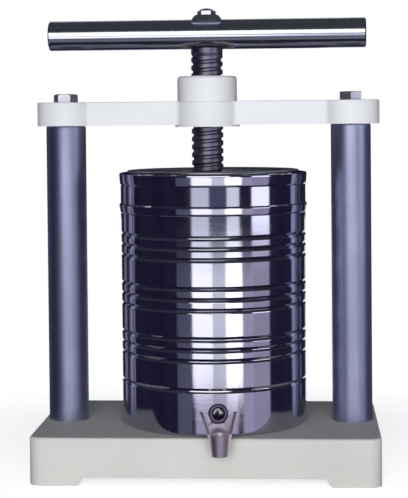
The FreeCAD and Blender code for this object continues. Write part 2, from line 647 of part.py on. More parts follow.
def make_cap_nut():
    body = new_body("handle_cap_nut")
    dome = new_sketch(body, "dome_section", "XZ_Plane")
    radius, top = "Sizes.cap_flats / 2", "(Sizes.cap_skirt + Sizes.cap_dome)"
    draw_polygon(dome, [("0", "0"), (radius, "0"), (radius, "Sizes.cap_skirt"),
                        (f"Sizes.cap_shoulder * {radius}",
                         "Sizes.cap_skirt + Sizes.cap_shoulder * Sizes.cap_dome"),
                        (f"Sizes.cap_crown * {radius}", top), ("0", top)])
    turned(body, "cap_turning", dome)
    primitive(body, "AdditivePrism", "cap_six_sides",
              {"Circumradius": f"Sizes.cap_flats / {HEX_CORNER}", "Height": "Sizes.cap_skirt"})
    hole = new_sketch(body, "cap_hole_circle", "XY_Plane")
    draw_circle(hole, "Sizes.stud_width")
    pocket(body, "cap_hole", hole, "Sizes.cap_skirt", along_normal=True)
    place(body, up=SADDLE_TOP)
    return keep(body, "handle_cap_nut")


# The vessel: a deep drawn steel pot with a rolled rim, a second band and
# groups of rolled grooves
def roll_section(body, name, level, height, rise):
    """A band's section starts inside the wall, and a groove's outside it."""
    sketch = new_sketch(body, name, "XZ_Plane")
    side = "-" if number(rise) > 0 else "+"
    back = f"{VESSEL_RADIUS} {side} Sizes.vessel_wall / 2"
    draw_roll(sketch, VESSEL_RADIUS, level, height, rise, back)
    return sketch


def place_with_vessel(piece, up="0"):
    place(piece, "Sizes.vessel_shift", up=f"Sizes.base_height + {up}", turn="Sizes.vessel_turn")


def make_vessel():
    body = new_body("outer_vessel")
    section = new_sketch(body, "vessel_section", "XZ_Plane")
    inside = f"{VESSEL_RADIUS} - Sizes.vessel_wall"
    draw_polygon(section, [("0", "0"), (VESSEL_RADIUS, "0"), (VESSEL_RADIUS, "Sizes.vessel_height"),
                           (inside, "Sizes.vessel_height"), (inside, "Sizes.vessel_wall"),
                           ("0", "Sizes.vessel_wall")])
    turned(body, "vessel_wall", section)
    rim = roll_section(body, "rim_section", "Sizes.vessel_height - Sizes.rim_height / 2",
                       "Sizes.rim_height", "Sizes.band_rise")
    turned(body, "rolled_rim", rim)
    bead = roll_section(body, "bead_section", "Sizes.bead_level", "Sizes.bead_height",
                        "Sizes.band_rise")
    turned(body, "second_band", bead)
    low = roll_section(body, "low_groove_section", "Sizes.low_groove_level",
                       "Sizes.groove_height", "-Sizes.groove_depth")
    grooved(body, "low_groove", low)

    groove = roll_section(body, "groove_section", "Sizes.group_level",
                          "Sizes.groove_height", "-Sizes.groove_depth")
    first = grooved(body, "first_groove", groove)
    groups = body.newObject("PartDesign::MultiTransform", "groove_groups")
    groups.Originals = [first]
    steps = []
    for name, count, pitch in (("in_a_group", "Sizes.groove_count", "Sizes.groove_pitch"),
                               ("group_to_group", "Sizes.group_count", "Sizes.group_pitch")):
        step = body.newObject("PartDesign::LinearPattern", name)
        step.Direction = (origin_part(body, "Z_Axis"), [""])
        step.setExpression("Length", f"({count} - 1) * {pitch}")
        step.setExpression("Occurrences", count)
        steps.append(step)
    groups.Transformations = steps
    body.Tip = groups
    document.recompute()

    drain = new_sketch(body, "drain_circle", "XZ_Plane")
    draw_circle(drain, "Sizes.drain_width", up="Sizes.drain_level")
    pocket(body, "drain_hole", drain, f"2 * {VESSEL_RADIUS}", along_normal=True)
    place_with_vessel(body)
    return keep(body, "outer_vessel")


# The spout: an open trough of folded sheet that narrows to a tapered nozzle
def make_spout():
    body = new_body("vessel_spout")
    root = f"{VESSEL_RADIUS} - Sizes.trough_bite"
    sections = {}
    for name, inset, lift in (("outer", "0", "0"), ("inner", "Sizes.sheet", "Sizes.sheet")):
        at_wall = new_sketch(body, f"{name}_trough_root", "XZ_Plane", root)
        half_top = f"(Sizes.trough_width / 2 - {inset})"
        half_floor = f"(Sizes.trough_floor_width / 2 - {inset})"
        over = f"Sizes.trough_top + {lift}"
        draw_polygon(at_wall, [(f"-{half_floor}", f"Sizes.trough_floor + {lift}"),
                               (half_floor, f"Sizes.trough_floor + {lift}"),
                               (half_top, over), (f"-{half_top}", over)])
        at_tip = new_sketch(body, f"{name}_trough_tip", "XZ_Plane", NOZZLE_AXIS)
        half_tip = f"(Sizes.nozzle_width / 2 - {inset})"
        low = f"Sizes.nozzle_top - 2 * Sizes.sheet + {lift}"
        high = f"Sizes.nozzle_top + {lift}"
        draw_polygon(at_tip, [(f"-{half_tip}", low), (half_tip, low), (half_tip, high),
                              (f"-{half_tip}", high)])
        sections[name] = (at_wall, at_tip)
    trough = body.newObject("PartDesign::AdditiveLoft", "trough_outside")
    trough.Profile, trough.Sections = sections["outer"][0], [sections["outer"][1]]
    trough.Ruled = True
    document.recompute()
    length = "Sizes.nozzle_top + Sizes.nozzle_drop"
    primitive(body, "AdditiveCone", "nozzle_outside",
              {"Radius1": "Sizes.nozzle_tip_width / 2", "Radius2": "Sizes.nozzle_width / 2",
               "Height": length}, back=f"-{NOZZLE_AXIS}", up="-Sizes.nozzle_drop")
    hollow = body.newObject("PartDesign::SubtractiveLoft", "trough_inside")
    hollow.Profile, hollow.Sections = sections["inner"][0], [sections["inner"][1]]
    hollow.Ruled = True
    finish_feature(body, hollow, grows=False)
    primitive(body, "SubtractiveCone", "nozzle_bore",
              {"Radius1": "Sizes.nozzle_tip_width / 2 - Sizes.sheet",
               "Radius2": "Sizes.nozzle_width / 2 - Sizes.sheet",
               "Height": length}, back=f"-{NOZZLE_AXIS}", up="-Sizes.nozzle_drop")
    primitive(body, "SubtractiveCylinder", "fit_to_vessel",
              {"Radius": VESSEL_RADIUS, "Height": "Sizes.vessel_height"})
    place_with_vessel(body)
    return keep(body, "vessel_spout")


# The cage: a perforated wall and floor on a notched foot ring
def make_cage():
    wall = new_body("cage_shell")
    section = new_sketch(wall, "cage_section", "XZ_Plane")
    outside = "Sizes.cage_width / 2"
    inside = f"({outside} - Sizes.cage_wall)"
    draw_polygon(section, [(inside, "0"), (outside, "0"), (outside, CAGE_HEIGHT), (inside, CAGE_HEIGHT)])
    turned(wall, "cage_wall", section)
    wire = new_sketch(wall, "cage_wire", "XZ_Plane")
    draw_circle(wire, "2 * Sizes.cage_bead", outside, f"{CAGE_HEIGHT} - Sizes.cage_bead")
    turned(wall, "cage_rim", wire)
    place_with_vessel(wall, f"{CAGE_FOOT} - Sizes.base_height")
    keep(wall, "cage_shell")

    floor = new_body("cage_floor")
    disc = new_sketch(floor, "cage_floor_circle", "XY_Plane")
    draw_circle(disc, "Sizes.cage_width - 2 * Sizes.cage_wall")
    pad(floor, "cage_floor_disc", disc, "Sizes.cage_floor_thickness")
    place_with_vessel(floor, f"{CAGE_FOOT} - Sizes.base_height")
    keep(floor, "cage_floor")

    ring = new_body("cage_foot_ring")
    ring_section = new_sketch(ring, "foot_ring_section", "XZ_Plane")
    ring_inside = f"({outside} - Sizes.foot_ring_width)"
    draw_polygon(ring_section, [(ring_inside, "0"), (outside, "0"), (outside, "Sizes.foot_ring_height"),
                                (ring_inside, "Sizes.foot_ring_height")])
    turned(ring, "foot_ring", ring_section)
    notch = new_sketch(ring, "notch_outline", "XZ_Plane")
    half = "Sizes.foot_notch_width / 2"
    draw_polygon(notch, [(f"-{half}", "0"), (half, "0"), (half, "Sizes.foot_notch_height"),
                         (f"-{half}", "Sizes.foot_notch_height")])
    first = pocket(ring, "first_notch", notch, "Sizes.cage_width", along_normal=True)
    round_pattern(ring, "notches", [first], "Sizes.foot_notches")
    place_with_vessel(ring, "Sizes.vessel_wall")
    keep(ring, "cage_foot_ring")


# Countersunk screws hold the socket on the plate from below, and the split
# keeper on the socket from above. Both sets share one circle.
def screw_spot(turn):
    """Across and back of a screw on the circle, as expressions."""
    radius = "Sizes.small_bolt_circle / 2"
    return f"{radius} * cos({turn} * 1deg)", f"{radius} * sin({turn} * 1deg)"


def make_small_screw(name, level, head_down, length, turn):
    wide, narrow = "Sizes.small_bolt_head_width / 2", "Sizes.small_bolt_width / 2"
    cone = document.addObject("Part::Cone", f"{name}_head")
    cone.setExpression("Radius1", wide if head_down else narrow)
    cone.setExpression("Radius2", narrow if head_down else wide)
    cone.setExpression("Height", "Sizes.small_bolt_head")
    place(cone, up="0" if head_down else "-Sizes.small_bolt_head")
    shank = document.addObject("Part::Cylinder", f"{name}_shank")
    shank.setExpression("Radius", narrow)
    shank.setExpression("Height", length)
    place(shank, up="0" if head_down else f"-({length})")
    screw = document.addObject("Part::Fuse", name)
    screw.Base, screw.Tool = cone, shank
    across, back = screw_spot(turn)
    place(screw, across, back, level)
    return screw


def small_screw_turns():
    """The screws' places round the circle, clear of the keeper's split."""
    count = round(number("Sizes.small_bolts"))
    return [(index + 0.5) * 360 / count for index in range(count)]


def drill_countersunk(body, name, surface, head_down, depth, back_half=False):
    """The holes for one such set, or its back half, with heads flush with a surface."""
    wide, narrow = "Sizes.small_bolt_head_width / 2", "Sizes.small_bolt_width / 2"
    for index, turn in enumerate(small_screw_turns()):
        across, back = screw_spot(turn)
        if back_half and number(back) < 0:
            continue
        primitive(body, "SubtractiveCone", f"{name}_seat_{index}",
                  {"Radius1": wide if head_down else narrow, "Radius2": narrow if head_down else wide,
                   "Height": "Sizes.small_bolt_head"},
                  across, back, surface if head_down else f"{surface} - Sizes.small_bolt_head")
        primitive(body, "SubtractiveCylinder", f"{name}_hole_{index}",
                  {"Radius": narrow, "Height": depth},
                  across, back, surface if head_down else f"{surface} - ({depth})")


def drill_blind(body, name, mouth, upwards, depth):
    """Plain tapped holes for the same screws."""
    for index, turn in enumerate(small_screw_turns()):
        across, back = screw_spot(turn)
        primitive(body, "SubtractiveCylinder", f"{name}_{index}",
                  {"Radius": "Sizes.small_bolt_width / 2", "Height": depth},
                  across, back, mouth if upwards else f"{mouth} - {depth}")


# The press plate, and the socket on it that holds the screw's end
def make_plate():
    body = new_body("press_plate")
    circle = new_sketch(body, "plate_circle", "XY_Plane")
    draw_circle(circle, PLATE_WIDTH)
    pad(body, "plate_disc", circle, "Sizes.plate_thickness")
    for name, level in (("lower", "0"), ("upper", "Sizes.plate_thickness")):
        dress(body, "Chamfer", f"{name}_plate_edge", circle_at(level, PLATE_WIDTH),
              "Sizes.plate_chamfer")
    drill_countersunk(body, "plate_screw", "0", True, "Sizes.plate_thickness")
    place(body, up=PLATE_UNDERSIDE)
    return keep(body, "press_plate")


def make_socket():
    body = new_body("screw_socket")
    circle = new_sketch(body, "socket_circle", "XY_Plane")
    draw_circle(circle, "Sizes.socket_width")
    pad(body, "socket_block", circle, "Sizes.socket_height")
    bore = new_sketch(body, "socket_bore_circle", "XY_Plane", "Sizes.socket_height")
    draw_circle(bore, "Sizes.collar_width + Sizes.collar_play")
    pocket(body, "socket_bore", bore, "Sizes.socket_depth")
    bite = "Sizes.small_bolt_bite"
    drill_blind(body, "plate_screw_hole", "0", True, bite)
    drill_blind(body, "keeper_screw_hole", "Sizes.socket_height", False, bite)
    place(body, up=PLATE_TOP)
    return keep(body, "screw_socket")


def make_keeper(name, turn):
    """Half of the ring that closes round the screw's neck."""
    body = new_body(name)
    section = new_sketch(body, f"{name}_section", "XZ_Plane")
    inside = "(Sizes.neck_width + Sizes.neck_play) / 2"
    outside = "Sizes.socket_width / 2"
    draw_polygon(section, [(inside, "0"), (outside, "0"), (outside, "Sizes.keeper_thickness"),
                           (inside, "Sizes.keeper_thickness")])
    turned(body, f"{name}_half_ring", section, angle=180)
    drill_countersunk(body, f"{name}_screw", "Sizes.keeper_thickness", False,
                      "Sizes.keeper_thickness", back_half=True)
    place(body, up=SOCKET_TOP)
    body.Placement = Placement(body.Placement.Base, Rotation(Vector(0, 0, 1), turn))
    return keep(body, name)


def make_thrust_washer():
    washer = document.addObject("Part::Cylinder", "thrust_washer")
    washer.setExpression("Radius", "Sizes.collar_width / 2")
    washer.setExpression("Height", "Sizes.thrust_thickness")
    place(washer, up=BORE_FLOOR)
    return keep(washer, "thrust_washer")


def make_small_screws():
    through_plate = "Sizes.plate_thickness + Sizes.small_bolt_bite"
    through_keeper = "Sizes.keeper_thickness + Sizes.small_bolt_bite"
    keeper_top = f"({SOCKET_TOP} + Sizes.keeper_thickness)"
    turns = small_screw_turns()
    make_group("plate_screws", [
        make_small_screw(f"plate_screw_{index}", PLATE_UNDERSIDE, True, through_plate, turn)
        for index, turn in enumerate(turns)])
    make_group("keeper_screws", [
        make_small_screw(f"keeper_screw_{index}", keeper_top, False, through_keeper, turn)
        for index, turn in enumerate(turns)])


make_base()
make_pillar("left_pillar", f"-{PILLAR_X}")
make_pillar("right_pillar", PILLAR_X)
make_crosshead()
make_nut()
make_grub_screw()
make_pillar_bolts()
make_screw()
make_handle()
make_saddle()
make_cap_nut()
make_vessel()
make_spout()
make_cage()
make_plate()
make_socket()
make_keeper("keeper_back", 0)
make_keeper("keeper_front", 180)
make_thrust_washer()
make_small_screws()
document.recompute()

for part in document.Objects:
    if "Invalid" in part.State or "Error" in part.State:
        raise ValueError(f"{part.Name} did not build")
for piece in pieces:
    if piece.Shape.isNull() or not piece.Shape.isValid():
        raise ValueError(f"{piece.Label} has no sound shape")

os.makedirs("parts", exist_ok=True)
for piece in pieces:
    piece.Shape.exportStep(os.path.join("parts", f"{piece.Label}.step"))
    box = piece.Shape.BoundBox
    print(f"{piece.Label}: {len(piece.Shape.Solids)} solid(s), {piece.Shape.Volume / 1000:.1f} cm3, "
          f"z {box.ZMin:.2f} to {box.ZMax:.2f}")
print(f"{len(pieces)} pieces")
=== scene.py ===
# %% [markdown]
# # A tincture press, dressed for its picture
#
# The press is a painted casting with two steel pillars, a crosshead with a big screw, and a
# grooved steel vessel that holds a perforated cage. Its solid model comes in as a fixed frame:
# every piece there already has its place and size. This lesson adds what a solid model leaves
# out, which is the thread, the perforations, the turned profile of the vessel, and the finish
# of every surface. Lengths are in metres, +Z is up, and the front is -Y.

# %% The frame
import math

import bmesh
import bpy
from mathutils import Matrix, Vector


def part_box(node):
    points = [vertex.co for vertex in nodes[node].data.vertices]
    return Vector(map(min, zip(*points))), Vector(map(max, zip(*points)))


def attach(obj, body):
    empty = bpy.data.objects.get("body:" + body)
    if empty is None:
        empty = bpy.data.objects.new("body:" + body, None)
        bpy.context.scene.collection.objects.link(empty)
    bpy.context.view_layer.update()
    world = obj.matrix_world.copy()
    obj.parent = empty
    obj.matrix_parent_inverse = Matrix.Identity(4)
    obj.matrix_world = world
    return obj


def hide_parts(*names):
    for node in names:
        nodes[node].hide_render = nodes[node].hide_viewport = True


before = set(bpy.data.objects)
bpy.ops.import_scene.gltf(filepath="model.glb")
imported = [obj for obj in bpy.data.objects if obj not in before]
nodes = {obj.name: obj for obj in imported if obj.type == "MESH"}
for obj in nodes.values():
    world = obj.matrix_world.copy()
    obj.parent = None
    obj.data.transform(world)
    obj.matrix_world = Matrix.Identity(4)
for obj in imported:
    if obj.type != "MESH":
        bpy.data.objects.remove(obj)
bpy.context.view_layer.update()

# %% [markdown]
# ## The camera
#
# The camera comes first, because every later choice is judged through it. A long lens a good
# metre away keeps the pillars nearly parallel. The camera stands higher than the middle of the
# press. Tilting it down would bring the press back into the frame, but it also makes the pillars
# lean together, so most of the drop is lens shift, as on a view camera. The camera also leans
# half a degree, because the picture was taken by hand.

# %% The camera
LONG_SIDE = 498            # of a picture 408 wide and 498 high
FOCAL_PIXELS = 1481.5
SENSOR = 36                # millimetres, along the long side
LENS_SHIFT = -0.165
CAMERA_PLACE = (0.078, -1.193, 0.2758)
HEADING, TILT, ROLL = 3.89, -1.66, -0.52      # in degrees, from level and straight ahead

eye = bpy.data.cameras.new("camera")
camera = bpy.data.objects.new("camera", eye)
bpy.context.scene.collection.objects.link(camera)
eye.sensor_width = SENSOR
eye.lens = FOCAL_PIXELS / LONG_SIDE * SENSOR
eye.shift_y = LENS_SHIFT
camera.location = CAMERA_PLACE
turned_left = Matrix.Rotation(math.radians(HEADING), 3, "Z")
tilted = Matrix.Rotation(math.radians(90 + TILT), 3, "X")
rolled = Matrix.Rotation(math.radians(ROLL), 3, "Z")
camera.rotation_euler = (turned_left @ tilted @ rolled).to_euler()
bpy.context.scene.camera = camera
print("lens", round(eye.lens, 1), "mm, shift", LENS_SHIFT)

# %% [markdown]
# ## A few helpers for nodes
#
# Materials and Geometry Nodes are both graphs, and both could be drawn by hand in an editor. In
# a script one helper can lay out either. It adds a node, sets its options, and feeds each input
# with a number or with another node's output.

# %% Helpers for nodes
def feed(tree, socket, value):
    if isinstance(value, bpy.types.NodeSocket):
        tree.links.new(value, socket)
    else:
        socket.default_value = value


def add(tree, kind, inputs=None, **settings):
    node = tree.nodes.new(kind)
    for option, value in settings.items():
        setattr(node, option, value)
    for name, value in (inputs or {}).items():
        feed(tree, node.inputs[name], value)
    return node


def math_node(tree, operation, *values):
    """The result of one sum."""
    node = add(tree, "ShaderNodeMath", dict(enumerate(values)), operation=operation)
    return node.outputs[0]


print("helpers ready:", feed.__name__, add.__name__, math_node.__name__)

# %% [markdown]
# ## The table and the background
#
# The press stands on a pale table that runs out into white. A long sweep of paper would do it,
# as in a real studio, but it would stand in the way of the other views. A small disc that fades
# out at its edge is simpler. Past it the rays meet the world, which is white only for rays that
# the camera or a reflection sends, so the light on the press stays at a plain level.

# %% The table's shape
def mesh_object(name, vertices, faces):
    mesh = bpy.data.meshes.new(name)
    mesh.from_pydata(vertices, [], faces)
    mesh.validate()
    thing = bpy.data.objects.new(name, mesh)
    bpy.context.scene.collection.objects.link(thing)
    return thing


FLOOR_RADIUS = 0.42
FLOOR_SIDES = 96
bearings = [step * 2 * math.pi / FLOOR_SIDES for step in range(FLOOR_SIDES)]
ring = [(FLOOR_RADIUS * math.cos(a), FLOOR_RADIUS * math.sin(a), 0) for a in bearings]
floor = mesh_object("floor", ring, [range(FLOOR_SIDES)])
floor.visible_glossy = False
print("floor", 2 * FLOOR_RADIUS, "m across")

# %% The table's white
def new_material(name):
    material = bpy.data.materials.new(name)
    material.use_nodes = True
    material.node_tree.nodes.clear()
    return material, material.node_tree


def seen_rays(tree):
    """1 for rays from the camera and for those that metal or glass sends on."""
    path = add(tree, "ShaderNodeLightPath").outputs
    either = math_node(tree, "MAXIMUM", path["Is Camera Ray"], path["Is Glossy Ray"])
    return math_node(tree, "MAXIMUM", either, path["Is Transmission Ray"])


FADE_START, FADE_END = 0.2, 0.4     # distances from the middle
PAPER_GRAIN = 300
PAPER_BUMP, PAPER_DEPTH = 0.05, 0.001
PAPER_COLOUR = (0.9, 0.9, 0.9, 1)
PAPER_LIFT = 0.72                   # white that the camera sees whatever light falls there
WHITE = (1, 1, 1, 1)

paper, tree = new_material("table_white")
place = add(tree, "ShaderNodeTexCoord").outputs["Object"]
distance = add(tree, "ShaderNodeVectorMath", {0: place}, operation="LENGTH").outputs["Value"]
fade = add(tree, "ShaderNodeMapRange",
           {"Value": distance, "From Min": FADE_START, "From Max": FADE_END},
           interpolation_type="SMOOTHSTEP").outputs["Result"]
grain = add(tree, "ShaderNodeTexNoise", {"Vector": place, "Scale": PAPER_GRAIN}).outputs["Fac"]
bump = add(tree, "ShaderNodeBump",
           {"Height": grain, "Strength": PAPER_BUMP, "Distance": PAPER_DEPTH})
lit = add(tree, "ShaderNodeBsdfDiffuse",
          {"Color": PAPER_COLOUR, "Normal": bump.outputs["Normal"]})
lift = math_node(tree, "MULTIPLY", seen_rays(tree), PAPER_LIFT)
white = add(tree, "ShaderNodeEmission", {"Color": WHITE, "Strength": lift})
table = add(tree, "ShaderNodeAddShader", {0: lit.outputs[0], 1: white.outputs[0]})
clear = add(tree, "ShaderNodeBsdfTransparent")
edge = add(tree, "ShaderNodeMixShader", {0: fade, 1: table.outputs[0], 2: clear.outputs[0]})
add(tree, "ShaderNodeOutputMaterial", {"Surface": edge.outputs[0]})
floor.data.materials.append(paper)
print(paper.name, "fades out from", FADE_START, "to", FADE_END, "m")

# %% The background
FILL_COLOUR, FILL_STRENGTH = (0.72, 0.7, 1, 1), 0.07

world = bpy.data.worlds.new("studio")
world.use_nodes = True
tree = world.node_tree
tree.nodes.clear()
fill = add(tree, "ShaderNodeBackground", {"Color": FILL_COLOUR, "Strength": FILL_STRENGTH})
backdrop = add(tree, "ShaderNodeBackground", {"Color": WHITE, "Strength": 1})
both = add(tree, "ShaderNodeMixShader",
           {0: seen_rays(tree), 1: fill.outputs[0], 2: backdrop.outputs[0]})
add(tree, "ShaderNodeOutputWorld", {"Surface": both.outputs[0]})
bpy.context.scene.world = world
bpy.context.scene.view_settings.view_transform = "Standard"
print("world", world.name, "with a fill of", FILL_STRENGTH)

# %% [markdown]
# ## The dark room
#
# Polished steel shows the room more than itself, so the room is half of its finish. The dark
# blue of the vessel and of the handle's belly is an unlit room. It could be built wall by wall,
# but a ball turned inside out is enough, and only reflections see it. It glows a little, more
# towards the top, and slow noise keeps it from looking like one flat colour.

# %% The room's walls
WALL_RADIUS = 3.2
RISE_START, RISE_END = 0.3, 2.5     # heights between which the tone changes
LOW_TONE, HIGH_TONE = (0.019, 0.015, 0.04, 1), (0.05, 0.053, 0.065, 1)
FOLD_SCALE, FOLD_DETAIL = 0.9, 3
LEAST_GLOW, MOST_GLOW = 0.2, 2.0

wall_mesh = bpy.data.meshes.new("studio_walls")
walls = bpy.data.objects.new("studio_walls", wall_mesh)
bpy.context.scene.collection.objects.link(walls)
shell = bmesh.new()
bmesh.ops.create_icosphere(shell, subdivisions=4, radius=WALL_RADIUS)
bmesh.ops.reverse_faces(shell, faces=shell.faces)
shell.to_mesh(wall_mesh)
shell.free()
walls.visible_camera = False
walls.visible_diffuse = False
walls.visible_shadow = False

cloth, tree = new_material("dark_cloth")
place = add(tree, "ShaderNodeTexCoord").outputs["Object"]
height = add(tree, "ShaderNodeSeparateXYZ", {0: place}).outputs["Z"]
rise = add(tree, "ShaderNodeMapRange",
           {"Value": height, "From Min": RISE_START, "From Max": RISE_END}).outputs["Result"]
folds = add(tree, "ShaderNodeTexNoise",
            {"Vector": place, "Scale": FOLD_SCALE, "Detail": FOLD_DETAIL}).outputs["Fac"]
tone = add(tree, "ShaderNodeValToRGB", {"Fac": rise})
tone.color_ramp.elements[0].color = LOW_TONE
tone.color_ramp.elements[1].color = HIGH_TONE
level = add(tree, "ShaderNodeMapRange",
            {"Value": folds, "To Min": LEAST_GLOW, "To Max": MOST_GLOW}).outputs["Result"]
glow = add(tree, "ShaderNodeEmission", {"Color": tone.outputs["Color"], "Strength": level})
add(tree, "ShaderNodeOutputMaterial", {"Surface": glow.outputs[0]})
wall_mesh.materials.append(cloth)
print("walls", WALL_RADIUS, "m away,", len(wall_mesh.polygons), "faces")

# %% [markdown]
# ## The lamps
#
# All the lamps are soft boxes. Each bright column on the vessel is the mirror image of one of
# them, so a lamp's bearing sets where its column stands, and its width how wide the column is.
# The camera looks from a little above, so an upright wall mirrors what is lower than itself,
# and a column is cut at the height where the lamp ends. The boxes in front therefore come in
# two parts: an upper one that shows above the highest grooves, and a foot that shows below.
#
# Steel and paint want different light. Some lamps only shine: steel mirrors them, and paint
# isn't lit by them. Others only light the paint, from all round, and no steel mirrors them.

# %% A soft box
AIM = Vector((0, 0, 0.17))          # the middle of the press
LAMP_DISTANCE = 1.6


def aim_at(thing, spot):
    thing.rotation_euler = (spot - thing.location).to_track_quat("-Z", "Y").to_euler()


def soft_box(name, bearing, low, high, width, glow, colour=(1, 1, 1), distance=LAMP_DISTANCE):
    """An upright lamp, its bearing counted from the front towards the right. A perfect mirror
    shows a glow of 1 as white."""
    lamp = bpy.data.lights.new(name, "AREA")
    lamp.shape = "RECTANGLE"
    lamp.size, lamp.size_y = width, high - low
    lamp.energy, lamp.color = glow * math.pi * width * (high - low), colour
    thing = bpy.data.objects.new(name, lamp)
    bpy.context.scene.collection.objects.link(thing)
    turn, height = math.radians(bearing), (low + high) / 2
    thing.location = (distance * math.sin(turn), -distance * math.cos(turn), height)
    aim_at(thing, Vector((AIM.x, AIM.y, height)))
    thing.visible_camera = False
    return thing


print("lamps aim at", tuple(round(part, 2) for part in AIM))

# %% Boxes in front, for steel and paint
BOX_FOOT, BOX_MIDDLE, BOX_TOP = -0.21, 0.05, 0.27
ICE, COOL, NEAR_WHITE = (0.85, 0.9, 1), (0.9, 0.93, 1), (0.95, 0.95, 1)

soft_box("left_box", -11.9, BOX_MIDDLE, BOX_TOP, 0.59, 0.97, ICE)
soft_box("left_box_foot", -9.9, BOX_FOOT, BOX_MIDDLE, 0.71, 1.9, NEAR_WHITE)
soft_box("middle_box", 9.2, BOX_MIDDLE, BOX_TOP, 0.55, 0.11, (0.45, 0.6, 1))
soft_box("middle_box_foot", 10.6, BOX_FOOT, BOX_MIDDLE, 0.42, 1.05, (0.9, 0.92, 1))
soft_box("right_box", 27.1, BOX_MIDDLE, BOX_TOP, 0.42, 1.15, COOL)
soft_box("right_box_foot", 27.8, BOX_FOOT, BOX_MIDDLE, 0.56, 2.5)
print(len(bpy.data.lights), "boxes in front")

# %% Lamps that only shine
LILAC = (0.84, 0.76, 1)
DEEP = -0.42                        # below the press, for the foot of the vessel
RIM_LOW, RIM_HIGH = -0.45, 0.55     # the rim lights, beside the press and behind it
BACK_HIGH = 0.1

for_shine_only = [
    soft_box("side_box", 62.4, 0.065, 0.62, 0.68, 1.9, (0.86, 0.88, 1)),
    soft_box("side_box_foot", 62, DEEP, 0.065, 0.68, 0.5, LILAC),
    soft_box("between_foot", 44.2, DEEP, 0.04, 0.34, 0.6, LILAC),
    soft_box("far_left_foot", -32.5, DEEP, 0.04, 0.5, 0.15, (0.7, 0.75, 1)),
    soft_box("left_rim", -112, RIM_LOW, RIM_HIGH, 0.12, 0.46, LILAC),
    soft_box("left_edge", -136, RIM_LOW, RIM_HIGH, 0.3, 0.25, LILAC),
    soft_box("right_rim", 122, RIM_LOW, RIM_HIGH, 0.12, 0.5, (0.75, 0.85, 1)),
    soft_box("over_boxes", -2, BOX_TOP, 1.02, 1.5, 2.1),
    soft_box("back_left_box", 193, RIM_LOW, BACK_HIGH, 0.5, 1, COOL),
    soft_box("back_right_box", 167, RIM_LOW, BACK_HIGH, 0.5, 1, COOL),
    soft_box("back_strip", 180, 1.25, 1.5, 1.4, 1.4, COOL),
]
for lamp in for_shine_only:
    lamp.visible_diffuse = False
print(len(for_shine_only), "lamps that only shine")

# %% Glow from below
soft_box("low_glow", 6, DEEP, BOX_FOOT, 1.5, 0.55, LILAC)
aim_at(soft_box("table_glow", 5, -1.1, -0.5, 1.5, 0.19, (0.85, 0.95, 1), 1.3), AIM)
print("two glows, as from a pale table")

# %% Lamps for the paint
FILL_LOW, FILL_HIGH = -0.35, 0.15
FILL_DISTANCE = 1.9

for_paint_only = [
    soft_box("front_fill", 2, 0.1, 0.8, 1.2, 11.2, distance=FILL_DISTANCE),
    soft_box("back_fill", 180, FILL_LOW, FILL_HIGH, 1.4, 8, distance=FILL_DISTANCE),
    soft_box("left_fill", -105, FILL_LOW, FILL_HIGH, 1.2, 2.4, distance=FILL_DISTANCE),
    soft_box("right_fill", 105, FILL_LOW, FILL_HIGH, 1.2, 2.8, distance=FILL_DISTANCE),
    soft_box("top_fill", -8, 1.5, 2.3, 1.2, 0.3, (0.8, 0.75, 1), 0.5),
]
for lamp in for_paint_only:
    lamp.visible_glossy = False
    aim_at(lamp, AIM)
print(len(bpy.data.lights), "lamps in all")

# %% [markdown]
# ## Paint
#
# Both castings are painted: a cream base and a whiter crosshead. A picture of paint could be
# laid over them, but noise works at any distance and needs no seams. One even colour goes on
# the shader, a slow noise shifts its tone, a fine one roughens it, and a few specks are dirt.
# Object coordinates keep the grain the same size on every piece.

# %% Helpers for finishes
def noise(tree, place, scale, detail=3.0, roughness=0.5):
    settings = {"Vector": place, "Scale": scale, "Detail": detail, "Roughness": roughness}
    return add(tree, "ShaderNodeTexNoise", settings).outputs["Fac"]


def spread(tree, value, low, high, start=0.0, end=1.0):
    """Maps start..end to low..high."""
    ends = {"Value": value, "From Min": start, "From Max": end, "To Min": low, "To Max": high}
    return add(tree, "ShaderNodeMapRange", ends).outputs["Result"]


def blend(tree, factor, first, second):
    node = add(tree, "ShaderNodeMix", {0: factor, 6: first, 7: second}, data_type="RGBA")
    return node.outputs[2]


print("finish helpers ready:", noise.__name__, spread.__name__, blend.__name__)

# %% Paint
CLOUDS, DENTS, SPECKS, PEEL = 14, 55, 420, 650      # scales of noise, from slow to fine
SHADE = 0.9                         # the darkest tone of a cloud, next to the colour
DENT_SHARE = 3.0                    # how much deeper the dents are than the orange peel
CLOUD_EDGES = (0.35, 0.7)           # levels of the noise between which a cloud fades in
SPECK_EDGES, SPECK_STRENGTH = (0.72, 0.8), 0.5
LEAST_ROUGH, MOST_ROUGH = 0.55, 0.68
PAINT_BUMP, PAINT_DEPTH = 0.25, 0.00025
COAT_ROUGHNESS = 0.2


